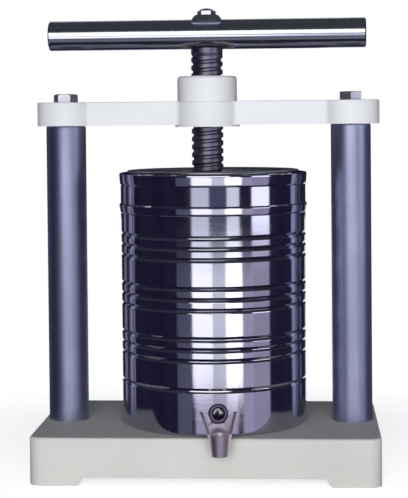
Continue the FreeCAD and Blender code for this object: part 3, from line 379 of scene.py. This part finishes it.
def paint(name, colour, worn, coat):
    """Brushed-on paint over a casting: orange peel, slow dents, and dirt in specks."""
    material, tree = new_material(name)
    place = add(tree, "ShaderNodeTexCoord").outputs["Object"]
    clouds = spread(tree, noise(tree, place, CLOUDS, 4), 0, 1, *CLOUD_EDGES)
    specks = spread(tree, noise(tree, place, SPECKS, 2), 0, SPECK_STRENGTH, *SPECK_EDGES)
    tone = blend(tree, clouds, (*colour, 1), (*[SHADE * part for part in colour], 1))
    tone = blend(tree, specks, tone, (*worn, 1))
    peel = noise(tree, place, PEEL, 2)
    dents = noise(tree, place, DENTS, 3)
    relief = math_node(tree, "MULTIPLY_ADD", dents, DENT_SHARE, peel)
    bump = add(tree, "ShaderNodeBump",
               {"Height": relief, "Strength": PAINT_BUMP, "Distance": PAINT_DEPTH})
    skin = add(tree, "ShaderNodeBsdfPrincipled",
               {"Base Color": tone, "Roughness": spread(tree, clouds, LEAST_ROUGH, MOST_ROUGH),
                "Normal": bump.outputs["Normal"], "Coat Weight": coat,
                "Coat Roughness": COAT_ROUGHNESS})
    add(tree, "ShaderNodeOutputMaterial", {"Surface": skin.outputs[0]})
    return material


cream_paint = paint("cream_paint", (0.64, 0.65, 0.61), (0.4, 0.38, 0.34), 0.05)
white_paint = paint("white_paint", (0.85, 0.87, 0.89), (0.6, 0.58, 0.55), 0.1)
print("paint:", cream_paint.name, white_paint.name)

# %% [markdown]
# ## Metals
#
# Metal has no colour of its own below its gloss, so a metal's finish is almost all in its
# roughness and its bump. Each metal could have its own graph, but one function makes them all.
# Stretching the coordinates gives its marks a direction, as turning on a lathe leaves rings
# round the axis: the grain says along which axis the marks lie close together.

# %% Metals
MOTTLE_SCALE = 18
MOTTLE_EDGES = (0.3, 0.7)
MARK_BUMP = 0.5


def metal(name, colour, rough, grain, mottle=0.08, scratches=0.12, depth=0.00002):
    """rough is the least and most roughness, and grain how close marks lie along X, Y, Z."""
    material, tree = new_material(name)
    place = add(tree, "ShaderNodeTexCoord").outputs["Object"]
    stretched = add(tree, "ShaderNodeMapping", {"Vector": place, "Scale": grain}).outputs["Vector"]
    marks = noise(tree, stretched, 1, 4, 0.65)
    clouds = noise(tree, place, MOTTLE_SCALE, 4)
    tone = blend(tree, spread(tree, clouds, 0, 1, *MOTTLE_EDGES), (*colour, 1),
                 (*[(1 - mottle) * part for part in colour], 1))
    gloss = math_node(tree, "MULTIPLY_ADD", math_node(tree, "SUBTRACT", marks, 0.5), scratches,
                      spread(tree, clouds, *rough, *MOTTLE_EDGES))
    bump = add(tree, "ShaderNodeBump",
               {"Height": marks, "Strength": MARK_BUMP, "Distance": depth})
    skin = add(tree, "ShaderNodeBsdfPrincipled",
               {"Base Color": tone, "Metallic": 1, "Roughness": gloss,
                "Normal": bump.outputs["Normal"]})
    add(tree, "ShaderNodeOutputMaterial", {"Surface": skin.outputs[0]})
    return material


RINGS_ROUND_Z = (30, 30, 2600)
RINGS_ROUND_X = (2600, 30, 30)
SHORT_UPRIGHT = (900, 900, 120)
EVEN = (700, 700, 700)
vessel_steel = metal("vessel_stainless", (0.54, 0.54, 0.62), (0.06, 0.1), RINGS_ROUND_Z)
pillar_steel = metal("pillar_steel", (0.46, 0.49, 0.68), (0.4, 0.46), SHORT_UPRIGHT, 0.15)
handle_steel = metal("polished_steel", (0.66, 0.68, 0.73), (0.12, 0.16), RINGS_ROUND_X,
                     0.05, 0.04, 0.000008)
spout_steel = metal("spout_stainless", (0.88, 0.76, 0.84), (0.38, 0.48), EVEN)
cage_steel = metal("brushed_stainless", (0.55, 0.55, 0.6), (0.28, 0.38), RINGS_ROUND_Z)
dark_steel = metal("dark_steel", (0.27, 0.26, 0.34), (0.34, 0.46), RINGS_ROUND_Z, 0.3)
zinc = metal("bolt_steel", (0.68, 0.68, 0.75), (0.3, 0.4), EVEN, 0.2)
bronze = metal("bronze", (0.55, 0.36, 0.17), (0.25, 0.35), RINGS_ROUND_Z, 0.2)
print(len(bpy.data.materials), "materials so far")

# %% [markdown]
# ## Which piece gets which finish
#
# A finish could be set piece by piece in the viewport. A table says the same at one glance, and
# shows which pieces were made of the same stock.

# %% Finishes for the solid pieces
finishes = {
    "base_casting": cream_paint, "crosshead_casting": white_paint,
    "left_pillar": pillar_steel, "right_pillar": pillar_steel, "handle_bar": handle_steel,
    "screw_nut": bronze, "thrust_washer": bronze, "nut_grub_screw": dark_steel,
    "pillar_top_bolts": zinc, "pillar_foot_bolts": zinc, "pillar_foot_washers": zinc,
    "handle_saddle_washer": zinc, "handle_cap_nut": zinc, "plate_screws": zinc,
    "keeper_screws": zinc, "press_plate": cage_steel, "screw_socket": cage_steel,
    "keeper_back": cage_steel, "keeper_front": cage_steel, "cage_foot_ring": cage_steel,
    "cage_shell": cage_steel, "cage_floor": cage_steel, "vessel_spout": spout_steel,
    "outer_vessel": vessel_steel, "press_screw": dark_steel,
}
for name, finish in finishes.items():
    nodes[name].data.materials.clear()
    nodes[name].data.materials.append(finish)
print(len(finishes), "pieces finished with", len(set(finishes.values())), "finishes")

# %% [markdown]
# ## Shapes that follow a rule
#
# The next pieces repeat something: grooves up a pot, a thread up a rod, holes round a cage.
# They could be modelled ring by ring. Geometry Nodes suit them better, because the rule is
# written once and its sizes stay open as named inputs. Most rules here bend a flat grid: one
# side of the grid becomes the way round, and the other becomes the way along the section. Each
# result is kept as a plain mesh.

# %% The start and the end of a rule
def new_rule(name, sizes):
    """An empty tree with one named input for each size."""
    tree = bpy.data.node_groups.new(name, "GeometryNodeTree")
    tree.is_modifier = True
    tree.interface.new_socket("Geometry", in_out="OUTPUT", socket_type="NodeSocketGeometry")
    for size, value in sizes.items():
        kind = "NodeSocketInt" if isinstance(value, int) else "NodeSocketFloat"
        tree.interface.new_socket(size, in_out="INPUT", socket_type=kind)
    return tree, tree.nodes.new("NodeGroupInput").outputs


WELD_DISTANCE = 1e-6


def end_rule(tree, geometry, finish, sharp=40):
    """Welds, shades smooth up to a sharp angle, and sets the finish."""
    weld = add(tree, "GeometryNodeMergeByDistance",
               {"Geometry": geometry, "Distance": WELD_DISTANCE})
    smooth = add(tree, "GeometryNodeSetShadeSmooth", {"Geometry": weld.outputs[0]})
    bend = add(tree, "GeometryNodeInputMeshEdgeAngle").outputs["Unsigned Angle"]
    is_sharp = math_node(tree, "GREATER_THAN", bend, math.radians(sharp))
    creased = add(tree, "GeometryNodeSetShadeSmooth",
                  {"Geometry": smooth.outputs[0], "Selection": is_sharp, "Shade Smooth": False},
                  domain="EDGE")
    real = add(tree, "GeometryNodeRealizeInstances", {0: creased.outputs[0]})
    dressed = add(tree, "GeometryNodeSetMaterial",
                  {"Geometry": real.outputs[0], "Material": finish})
    add(tree, "NodeGroupOutput", {0: dressed.outputs[0]})


print("rules start with", new_rule.__name__, "and end with", end_rule.__name__)

# %% A grid that bends
def grid_position(tree):
    """Where each point stands, as X, Y and Z."""
    position = add(tree, "GeometryNodeInputPosition").outputs[0]
    return add(tree, "ShaderNodeSeparateXYZ", {0: position}).outputs


def bent_grid(tree, around, along):
    """A unit grid, with its two numbers: 0 to 1 round, and 0 to 'along' up the section."""
    grid = add(tree, "GeometryNodeMeshGrid", {
        "Size X": 1.0, "Size Y": 1.0, "Vertices X": math_node(tree, "ADD", around, 1),
        "Vertices Y": math_node(tree, "ADD", along, 1)})
    flat = grid_position(tree)
    turn = math_node(tree, "ADD", flat["X"], 0.5)
    row = math_node(tree, "MULTIPLY", math_node(tree, "ADD", flat["Y"], 0.5), along)
    return grid.outputs["Mesh"], turn, row


def wrap(tree, geometry, angle, radius, height):
    """Moves each point to an angle, a radius and a height."""
    across = math_node(tree, "MULTIPLY", radius, math_node(tree, "COSINE", angle))
    back = math_node(tree, "MULTIPLY", radius, math_node(tree, "SINE", angle))
    spot = add(tree, "ShaderNodeCombineXYZ", {"X": across, "Y": back, "Z": height}).outputs[0]
    moved = add(tree, "GeometryNodeSetPosition", {"Geometry": geometry, "Position": spot})
    return moved.outputs[0]


def steps(tree, row, start, count):
    """Goes from 0 to 1 over some rows of the grid, and stays there."""
    past = math_node(tree, "DIVIDE", math_node(tree, "SUBTRACT", row, start), count)
    return add(tree, "ShaderNodeClamp", {"Value": past}).outputs[0]


FULL_TURN = 2 * math.pi
print("a grid bends round", round(FULL_TURN, 3), "radians")

# %% From a rule to a piece
def grow(name, tree, sizes, body, finish):
    """Runs a rule with its sizes and keeps what it makes as a plain mesh on a body."""
    thing = mesh_object(name, [], [])
    rule = thing.modifiers.new(name, "NODES")
    rule.node_group = tree
    for item in tree.interface.items_tree:
        if item.in_out == "INPUT" and item.name in sizes:
            rule[item.identifier] = sizes[item.name]
    bpy.context.view_layer.update()
    graph = bpy.context.evaluated_depsgraph_get()
    made = bpy.data.meshes.new_from_object(thing.evaluated_get(graph), depsgraph=graph)
    thing.modifiers.remove(rule)
    thing.data = made
    made.materials.clear()
    made.materials.append(finish)
    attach(thing, body)
    triangles = sum(len(face.vertices) - 2 for face in made.polygons)
    print(name, triangles, "triangles")
    return thing


def stand(thing, across, turn=0.0, up=0.0):
    """Moves a mesh to its place, so that its object can stay at the origin."""
    thing.data.transform(Matrix.Translation((across, 0, up)) @ Matrix.Rotation(turn, 4, "Z"))


print("pieces are made by", grow.__name__, "and set down by", stand.__name__)

# %% [markdown]
# ## The vessel
#
# It is a deep drawn pot. A rolled band stiffens the rim, a second band sits a little below it,
# and grooves are rolled in by threes. Its section could be drawn and spun, but then each groove
# is drawn by hand. The rule walks the section once instead: out along the underside, round the
# foot, up the wall, over the lip, down the inside and back to the middle.

# %% The vessel's sizes
low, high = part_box("outer_vessel")
VESSEL_AXIS = (low.x + high.x) / 2
VESSEL_TURN = math.radians(5.5)
BAND_RISE = 0.0012
vessel_sizes = {
    "Columns": 160, "Wall rows": 480,
    "Radius": (high.x - low.x) / 2 - BAND_RISE, "Height": high.z - low.z,
    "Wall": 0.0015, "Foot round": 0.0024, "Band rise": BAND_RISE, "Rim band": 0.0095,
    "Second band": 0.0072, "Second band level": 0.172, "Band lean": 0.085,
    "Groove": 0.004, "Groove depth": 0.0008, "Groove pitch": 0.0083,
    "Group pitch": 0.0386, "First groove": 0.0578, "Low groove": 0.0354,
    "Hole": 0.0065, "Hole level": 0.0184,
}
tree, size = new_rule("grooved_pot", vessel_sizes)
print("vessel", round(vessel_sizes["Height"], 3), "m high,", len(vessel_sizes), "sizes")

# %% The walk round the section
def calc(operation, *values):
    """One sum in the rule that is being written."""
    return math_node(tree, operation, *values)


INSIDE_ROWS = 12
rows = calc("ADD", size["Wall rows"], INSIDE_ROWS + 3)
grid, turn, row = bent_grid(tree, size["Columns"], rows)
lip = calc("ADD", size["Wall rows"], 1)
underside = steps(tree, row, 0, 1)
wall = steps(tree, row, 1, size["Wall rows"])
over_lip = steps(tree, row, lip, 1)
inside = steps(tree, row, calc("ADD", lip, 1), INSIDE_ROWS)
inner_floor = steps(tree, row, calc("ADD", lip, INSIDE_ROWS + 1), 1)
height = calc("MULTIPLY", wall, size["Height"])
print(tree.name, len(tree.nodes), "nodes after the walk")

# %% [markdown]
# On the way up, each band adds a flat swelling to the radius and each groove takes a soft V
# away. One curve serves both: a power of its distance, high for the bands and low for the
# grooves. Nine grooves need no nine curves, because each height only looks for its nearest one.

# %% Swellings
BAND_POWER, GROOVE_POWER = 9, 1.2


def swell(distance, tall, power):
    """1 in the middle, falling to 0 half the height away: flat for a high power, a V for 1."""
    off = calc("ABSOLUTE", calc("DIVIDE", distance, calc("MULTIPLY", tall, 0.5)))
    return calc("MAXIMUM", calc("SUBTRACT", 1, calc("POWER", off, power)), 0)


def nearest_of_three(value, pitch):
    """What is left of a value after the nearest of 0, 1 or 2 pitches is taken off."""
    count = calc("ROUND", calc("DIVIDE", value, pitch))
    count = calc("MINIMUM", calc("MAXIMUM", count, 0), 2)
    return calc("SUBTRACT", value, calc("MULTIPLY", count, pitch))


def band(distance, tall):
    """A flat swelling that leans out towards its top edge."""
    below_top = calc("SUBTRACT", distance, calc("MULTIPLY", tall, 0.5))
    rise = calc("ADD", size["Band rise"], calc("MULTIPLY", below_top, size["Band lean"]))
    return calc("MULTIPLY", swell(distance, tall, BAND_POWER), rise)


half_rim = calc("MULTIPLY", size["Rim band"], 0.5)
below_rim = calc("SUBTRACT", height, calc("SUBTRACT", size["Height"], half_rim))
above_band = calc("SUBTRACT", height, size["Second band level"])
bands = calc("ADD", band(below_rim, size["Rim band"]), band(above_band, size["Second band"]))

above = calc("SUBTRACT", height, calc("ADD", size["First groove"], size["Groove pitch"]))
in_group = calc("ADD", nearest_of_three(above, size["Group pitch"]), size["Groove pitch"])
to_groove = nearest_of_three(in_group, size["Groove pitch"])
to_lowest = calc("SUBTRACT", height, size["Low groove"])
grooves = calc("ADD", swell(to_groove, size["Groove"], GROOVE_POWER),
               swell(to_lowest, size["Groove"], GROOVE_POWER))
relief = calc("SUBTRACT", bands, calc("MULTIPLY", grooves, size["Groove depth"]))
print(tree.name, len(tree.nodes), "nodes with bands and grooves")

# %% The radius and the level
short = calc("MAXIMUM", calc("SUBTRACT", size["Foot round"], height), 0)
squares = calc("SUBTRACT", calc("POWER", size["Foot round"], 2), calc("POWER", short, 2))
foot = calc("SQRT", squares)
outer = calc("ADD", calc("SUBTRACT", size["Radius"], size["Foot round"]),
             calc("ADD", foot, relief))
outer = calc("MULTIPLY", outer, underside)
inner = calc("SUBTRACT", size["Radius"], size["Wall"])
radius = calc("ADD", outer, calc("MULTIPLY", calc("SUBTRACT", inner, outer), over_lip))
radius = calc("MULTIPLY", radius, calc("SUBTRACT", 1, inner_floor))
deep = calc("SUBTRACT", size["Height"], size["Wall"])
level = calc("SUBTRACT", height, calc("MULTIPLY", deep, inside))
pot = wrap(tree, grid, calc("MULTIPLY", turn, FULL_TURN), radius, level)
pot = add(tree, "GeometryNodeMergeByDistance",
          {"Geometry": pot, "Distance": WELD_DISTANCE}).outputs[0]
print(tree.name, len(tree.nodes), "nodes before the hole")

# %% The drain hole, and the finished vessel
DRILL_SIDES, DRILL_LENGTH = 48, 0.02
SHARP_GROOVE = 12                   # degrees, so that a groove's edges stay crisp

drill = add(tree, "GeometryNodeMeshCylinder",
            {"Vertices": DRILL_SIDES, "Radius": size["Hole"], "Depth": DRILL_LENGTH})
front = calc("MULTIPLY", size["Radius"], -1)
where = add(tree, "ShaderNodeCombineXYZ", {"Y": front, "Z": size["Hole level"]}).outputs[0]
drill = add(tree, "GeometryNodeTransform",
            {"Geometry": drill.outputs["Mesh"], "Translation": where,
             "Rotation": (math.pi / 2, 0, 0)})
drilled = add(tree, "GeometryNodeMeshBoolean", {"Mesh 1": pot, "Mesh 2": drill.outputs[0]},
              operation="DIFFERENCE")
end_rule(tree, drilled.outputs["Mesh"], vessel_steel, sharp=SHARP_GROOVE)
vessel = grow("fine_vessel", tree, vessel_sizes, "vessel", vessel_steel)
stand(vessel, VESSEL_AXIS, VESSEL_TURN, low.z)
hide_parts("outer_vessel")

# %% [markdown]
# ## The screw
#
# A press screw has a coarse flat-topped thread, which carries load better than a sharp one. It
# could be cut by sweeping a tooth along a helix, but on a bent grid it is one number: how far a
# point is up its turn. That is the height divided by the lead, less the angle round, and only
# the part after the decimal point counts. A right-hand thread climbs as it goes round
# anticlockwise seen from above.

# %% The thread
low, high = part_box("press_screw")
NECK_FOOT, NECK_TOP = 0.0963, 0.101
INTO_BAR = 0.0007
THREAD_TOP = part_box("handle_bar")[0].z + INTO_BAR
CREST_START, CREST_END = 0.28, 0.5  # where the flank begins and ends, from root to crest
LEAD_IN = 0.25                      # turns over which the thread's foot is bevelled

screw_sizes = {
    "Columns": 72, "Rows a turn": 18, "Radius": 0.0127, "Depth": 0.0013, "Lead": 0.00635,
    "Foot": NECK_TOP, "Top": THREAD_TOP, "Plain end": 0.004,
}
tree, size = new_rule("threaded_rod", screw_sizes)
length = calc("SUBTRACT", size["Top"], size["Foot"])
turns = calc("DIVIDE", length, size["Lead"])
rows = calc("ROUND", calc("MULTIPLY", turns, size["Rows a turn"]))
grid, turn, row = bent_grid(tree, size["Columns"], calc("ADD", rows, 2))
up = steps(tree, row, 1, rows)
height = calc("ADD", size["Foot"], calc("MULTIPLY", up, length))
phase = calc("FRACT", calc("SUBTRACT", calc("DIVIDE", height, size["Lead"]), turn))
from_root = calc("MULTIPLY", calc("ABSOLUTE", calc("SUBTRACT", phase, 0.5)), 2)
crest = add(tree, "ShaderNodeMapRange",
            {"Value": from_root, "From Min": CREST_START, "From Max": CREST_END},
            interpolation_type="SMOOTHSTEP").outputs["Result"]
print(tree.name, len(tree.nodes), "nodes for the thread")

# %% The thread's ends, and the rod
SHARP_THREAD = 60

from_foot = calc("DIVIDE", calc("SUBTRACT", height, size["Foot"]), size["Lead"])
plain_from = calc("SUBTRACT", size["Top"], size["Plain end"])
from_top = calc("DIVIDE", calc("SUBTRACT", plain_from, height), size["Lead"])
fade = add(tree, "ShaderNodeClamp", {"Value": calc("MULTIPLY", from_top, 2)}).outputs[0]
cut = calc("MULTIPLY", calc("MULTIPLY", size["Depth"], fade), calc("SUBTRACT", 1, crest))
bevel = calc("MAXIMUM", calc("SUBTRACT", LEAD_IN, from_foot), 0)
radius = calc("SUBTRACT", calc("SUBTRACT", size["Radius"], cut),
              calc("MULTIPLY", bevel, size["Lead"]))
at_top = steps(tree, row, calc("ADD", rows, 1), 1)
closed = calc("MULTIPLY", steps(tree, row, 0, 1), calc("SUBTRACT", 1, at_top))
rod = wrap(tree, grid, calc("MULTIPLY", turn, FULL_TURN), calc("MULTIPLY", radius, closed),
           height)
end_rule(tree, rod, dark_steel, sharp=SHARP_THREAD)
screw = grow("threaded_screw", tree, screw_sizes, "screw", dark_steel)

# %% [markdown]
# The end collar, the neck and the stud are plain turning. Another rule would be too much for
# them: a list of radii and heights is enough, and each pair of rings is joined by faces.

# %% Plain turning
SHARP_TURNING = 30


def turned(profile, sides=64):
    """A closed shape turned round Z from radii and heights that start and end on the axis."""
    made = bmesh.new()
    angles = [step * FULL_TURN / sides for step in range(sides)]
    rings = []
    for radius, level in profile:
        if radius == 0:
            rings.append([made.verts.new((0, 0, level))] * sides)
        else:
            rings.append([made.verts.new((radius * math.cos(a), radius * math.sin(a), level))
                          for a in angles])
    for lower, upper in zip(rings, rings[1:]):
        for step in range(sides):
            after = (step + 1) % sides
            corners = dict.fromkeys([lower[step], lower[after], upper[after], upper[step]])
            made.faces.new(corners).smooth = True
    for edge in made.edges:
        bend = edge.calc_face_angle() if edge.is_manifold else math.pi
        edge.smooth = bend < math.radians(SHARP_TURNING)
    return made


def join_mesh(thing, extra):
    """Adds a bmesh to a piece's mesh."""
    extra.from_mesh(thing.data)
    extra.to_mesh(thing.data)
    extra.free()


COLLAR, NECK, STUD = 0.0123, 0.009, 0.004
BEVEL = 0.0005
OVERLAP = 0.001                     # how far neck and stud reach into the thread
neck_end, stud_start = NECK_TOP + OVERLAP, THREAD_TOP - OVERLAP
join_mesh(screw, turned([(0, low.z), (COLLAR - BEVEL, low.z), (COLLAR, low.z + BEVEL),
                         (COLLAR, NECK_FOOT), (NECK, NECK_FOOT), (NECK, neck_end),
                         (0, neck_end)]))
join_mesh(screw, turned([(0, stud_start), (STUD, stud_start), (STUD, high.z), (0, high.z)]))
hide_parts("press_screw")
print("screw from", round(low.z, 4), "to", round(high.z, 4))

# %% [markdown]
# ## The cage
#
# The cage is punched sheet, bent round and welded. A thousand boolean cuts would be slow and
# leave long thin faces. One hole with the square of sheet round it is a ring of twelve faces:
# its inner edge is the hole, and its outer edge is the square. The rule lays such tiles side by
# side on a flat grid, rolls the sheet up, and welds the tiles where they touch. A Solidify
# modifier then gives the sheet its thickness.

# %% One tile with its hole
HOLE_SIDES = 12
HOLES_START = 0.0595                # the lowest row's lower edge, above the table

low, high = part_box("cage_shell")
cage_sizes = {
    "Holes round": 52, "Rows": 20, "Radius": 0.068, "Hole": 0.0019,
    "Lower edge": HOLES_START - low.z, "Height": high.z - low.z,
}
tree, size = new_rule("rolled_sheet_with_holes", cage_sizes)
sheet_length = calc("MULTIPLY", size["Radius"], FULL_TURN)
tile = calc("DIVIDE", sheet_length, size["Holes round"])
grid, turn, row = bent_grid(tree, HOLE_SIDES, 1)
angle = calc("MULTIPLY", calc("SUBTRACT", 0.5 / HOLE_SIDES, turn), FULL_TURN)
furthest = calc("MAXIMUM", calc("ABSOLUTE", calc("COSINE", angle)),
                calc("ABSOLUTE", calc("SINE", angle)))
square = calc("DIVIDE", calc("MULTIPLY", tile, 0.5), furthest)
reach = calc("ADD", size["Hole"], calc("MULTIPLY", row, calc("SUBTRACT", square, size["Hole"])))
one_tile = wrap(tree, grid, angle, reach, 0)
tile_width = cage_sizes["Radius"] * FULL_TURN / cage_sizes["Holes round"]
print("a tile is", round(tile_width, 4), "m wide")

# %% The rolled sheet
def sheet_of_points(across, up, step):
    """A flat grid of points with the same step both ways."""
    return add(tree, "GeometryNodeMeshGrid", {
        "Size X": calc("MULTIPLY", calc("SUBTRACT", across, 1), step),
        "Size Y": calc("MULTIPLY", calc("SUBTRACT", up, 1), step),
        "Vertices X": across, "Vertices Y": up}).outputs["Mesh"]


spots = sheet_of_points(size["Holes round"], size["Rows"], tile)
tiles = add(tree, "GeometryNodeInstanceOnPoints", {"Points": spots, "Instance": one_tile})
tiles = add(tree, "GeometryNodeRealizeInstances", {0: tiles.outputs[0]}).outputs[0]
flat = grid_position(tree)
half_rows = calc("MULTIPLY", calc("MULTIPLY", size["Rows"], tile), 0.5)
height = calc("ADD", calc("ADD", flat["Y"], half_rows), size["Lower edge"])
sheet = wrap(tree, tiles, calc("DIVIDE", flat["X"], size["Radius"]), size["Radius"], height)
print(cage_sizes["Holes round"] * cage_sizes["Rows"], "holes in the wall")

# %% Plain bands, and the finished cage wall
SHEET_THICKNESS = 0.0015
SHARP_SHEET = 80


def plain_band(foot, top):
    """Sheet without holes, with as many faces round as the tiles have along an edge."""
    faces_round = calc("MULTIPLY", size["Holes round"], HOLE_SIDES // 4)
    grid, turn, row = bent_grid(tree, faces_round, 1)
    level = calc("ADD", foot, calc("MULTIPLY", row, calc("SUBTRACT", top, foot)))
    return wrap(tree, grid, calc("MULTIPLY", turn, FULL_TURN), size["Radius"], level)


def thicken(thing, name, thickness):
    """Gives a sheet its thickness, on the side that its faces look away from."""
    wall = thing.modifiers.new(name, "SOLIDIFY")
    wall.thickness = thickness
    wall.offset = -1


whole = add(tree, "GeometryNodeJoinGeometry")
over_holes = calc("ADD", size["Lower edge"], calc("MULTIPLY", size["Rows"], tile))
lower_band, upper_band = plain_band(0, size["Lower edge"]), plain_band(over_holes, size["Height"])
for strip_of_sheet in (sheet, lower_band, upper_band):
    tree.links.new(strip_of_sheet, whole.inputs[0])
end_rule(tree, whole.outputs[0], cage_steel, sharp=SHARP_SHEET)
cage = grow("perforated_cage", tree, cage_sizes, "vessel", cage_steel)
stand(cage, VESSEL_AXIS, VESSEL_TURN, low.z)
thicken(cage, "sheet", SHEET_THICKNESS)
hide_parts("cage_shell")

# %% [markdown]
# ## Rolled edges
#
# The cage's rim is stiffened by a wire that the sheet is rolled round, and a small rolled lip
# runs round the drain hole. A torus would do for both. Sweeping a circle along a bigger circle
# is the same shape, and one rule then serves both sizes.

# %% The wire in the cage's rim
rim_sizes = {"Ring": 0.068, "Wire": 0.0013, "Steps": 160, "Sides": 12}
tree, size = new_rule("wire_ring", rim_sizes)
path = add(tree, "GeometryNodeCurvePrimitiveCircle",
           {"Resolution": size["Steps"], "Radius": size["Ring"]}).outputs[0]
section = add(tree, "GeometryNodeCurvePrimitiveCircle",
              {"Resolution": size["Sides"], "Radius": size["Wire"]}).outputs[0]
swept = add(tree, "GeometryNodeCurveToMesh", {"Curve": path, "Profile Curve": section})
end_rule(tree, swept.outputs[0], cage_steel)
wire = grow("cage_rim_wire", tree, rim_sizes, "vessel", cage_steel)
stand(wire, VESSEL_AXIS, up=high.z - rim_sizes["Wire"])

# %% The lip round the drain hole
# The lip's steel is painted dark: painted shade for the shadow round the drain hole.
lip_painted_shade_steel = metal("drain_lip_painted_shade", (0.16, 0.14, 0.21), (0.3, 0.4), EVEN)
lip_sizes = {"Ring": 0.0059, "Wire": 0.0018, "Steps": 48, "Sides": 12}
lip_ring = grow("drain_lip", tree, lip_sizes, "vessel", lip_painted_shade_steel)
hole_place = Matrix.Translation((0, -vessel_sizes["Radius"], vessel_sizes["Hole level"]))
lip_ring.data.transform(hole_place @ Matrix.Rotation(math.pi / 2, 4, "X"))
stand(lip_ring, VESSEL_AXIS, VESSEL_TURN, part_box("outer_vessel")[0].z)

# %% [markdown]
# ## The cage floor
#
# The floor is a punched disc. Its holes stop short of the rim, so tiles don't fit it. Here the
# holes come first: points in rows, every second row moved half a step, a small circle on each
# point that lies well inside the rim, and one big circle round them all. Filling those curves
# leaves the small ones open.

# %% Where the floor's holes are
low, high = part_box("cage_floor")
floor_sizes = {"Radius": (high.x - low.x) / 2, "Hole": 0.0019, "Step": 0.0078, "Across": 21,
               "Margin": 0.006}
tree, size = new_rule("punched_disc", floor_sizes)
spots = sheet_of_points(size["Across"], size["Across"], size["Step"])
which_row = calc("ROUND", calc("DIVIDE", grid_position(tree)["Y"], size["Step"]))
half_step = calc("MULTIPLY", calc("MULTIPLY", calc("FLOORED_MODULO", which_row, 2), 0.5),
                 size["Step"])
aside = add(tree, "ShaderNodeCombineXYZ", {"X": half_step}).outputs[0]
spots = add(tree, "GeometryNodeSetPosition", {"Geometry": spots, "Offset": aside})
position = add(tree, "GeometryNodeInputPosition").outputs[0]
far = add(tree, "ShaderNodeVectorMath", {0: position}, operation="LENGTH").outputs["Value"]
outside = calc("GREATER_THAN", far, calc("SUBTRACT", size["Radius"], size["Margin"]))
spots = add(tree, "GeometryNodeDeleteGeometry",
            {"Geometry": spots.outputs[0], "Selection": outside}, domain="POINT")
print(tree.name, len(tree.nodes), "nodes for the spots")

# %% The floor
DISC_SIDES = 128

hole = add(tree, "GeometryNodeCurvePrimitiveCircle",
           {"Resolution": HOLE_SIDES, "Radius": size["Hole"]}).outputs[0]
holes = add(tree, "GeometryNodeInstanceOnPoints", {"Points": spots.outputs[0], "Instance": hole})
holes = add(tree, "GeometryNodeRealizeInstances", {0: holes.outputs[0]})
rim = add(tree, "GeometryNodeCurvePrimitiveCircle",
          {"Resolution": DISC_SIDES, "Radius": size["Radius"]})
curves = add(tree, "GeometryNodeJoinGeometry")
for curve in (holes, rim):
    tree.links.new(curve.outputs[0], curves.inputs[0])
disc = add(tree, "GeometryNodeFillCurve", {"Curve": curves.outputs[0]})
end_rule(tree, disc.outputs[0], cage_steel)
punched = grow("punched_floor", tree, floor_sizes, "vessel", cage_steel)
stand(punched, VESSEL_AXIS, VESSEL_TURN, high.z)
thicken(punched, "plate", high.z - low.z)
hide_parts("cage_floor")

# %% [markdown]
# ## The end
#
# A dressed piece should stand where its solid stood.

# %% The end
print("scene done")
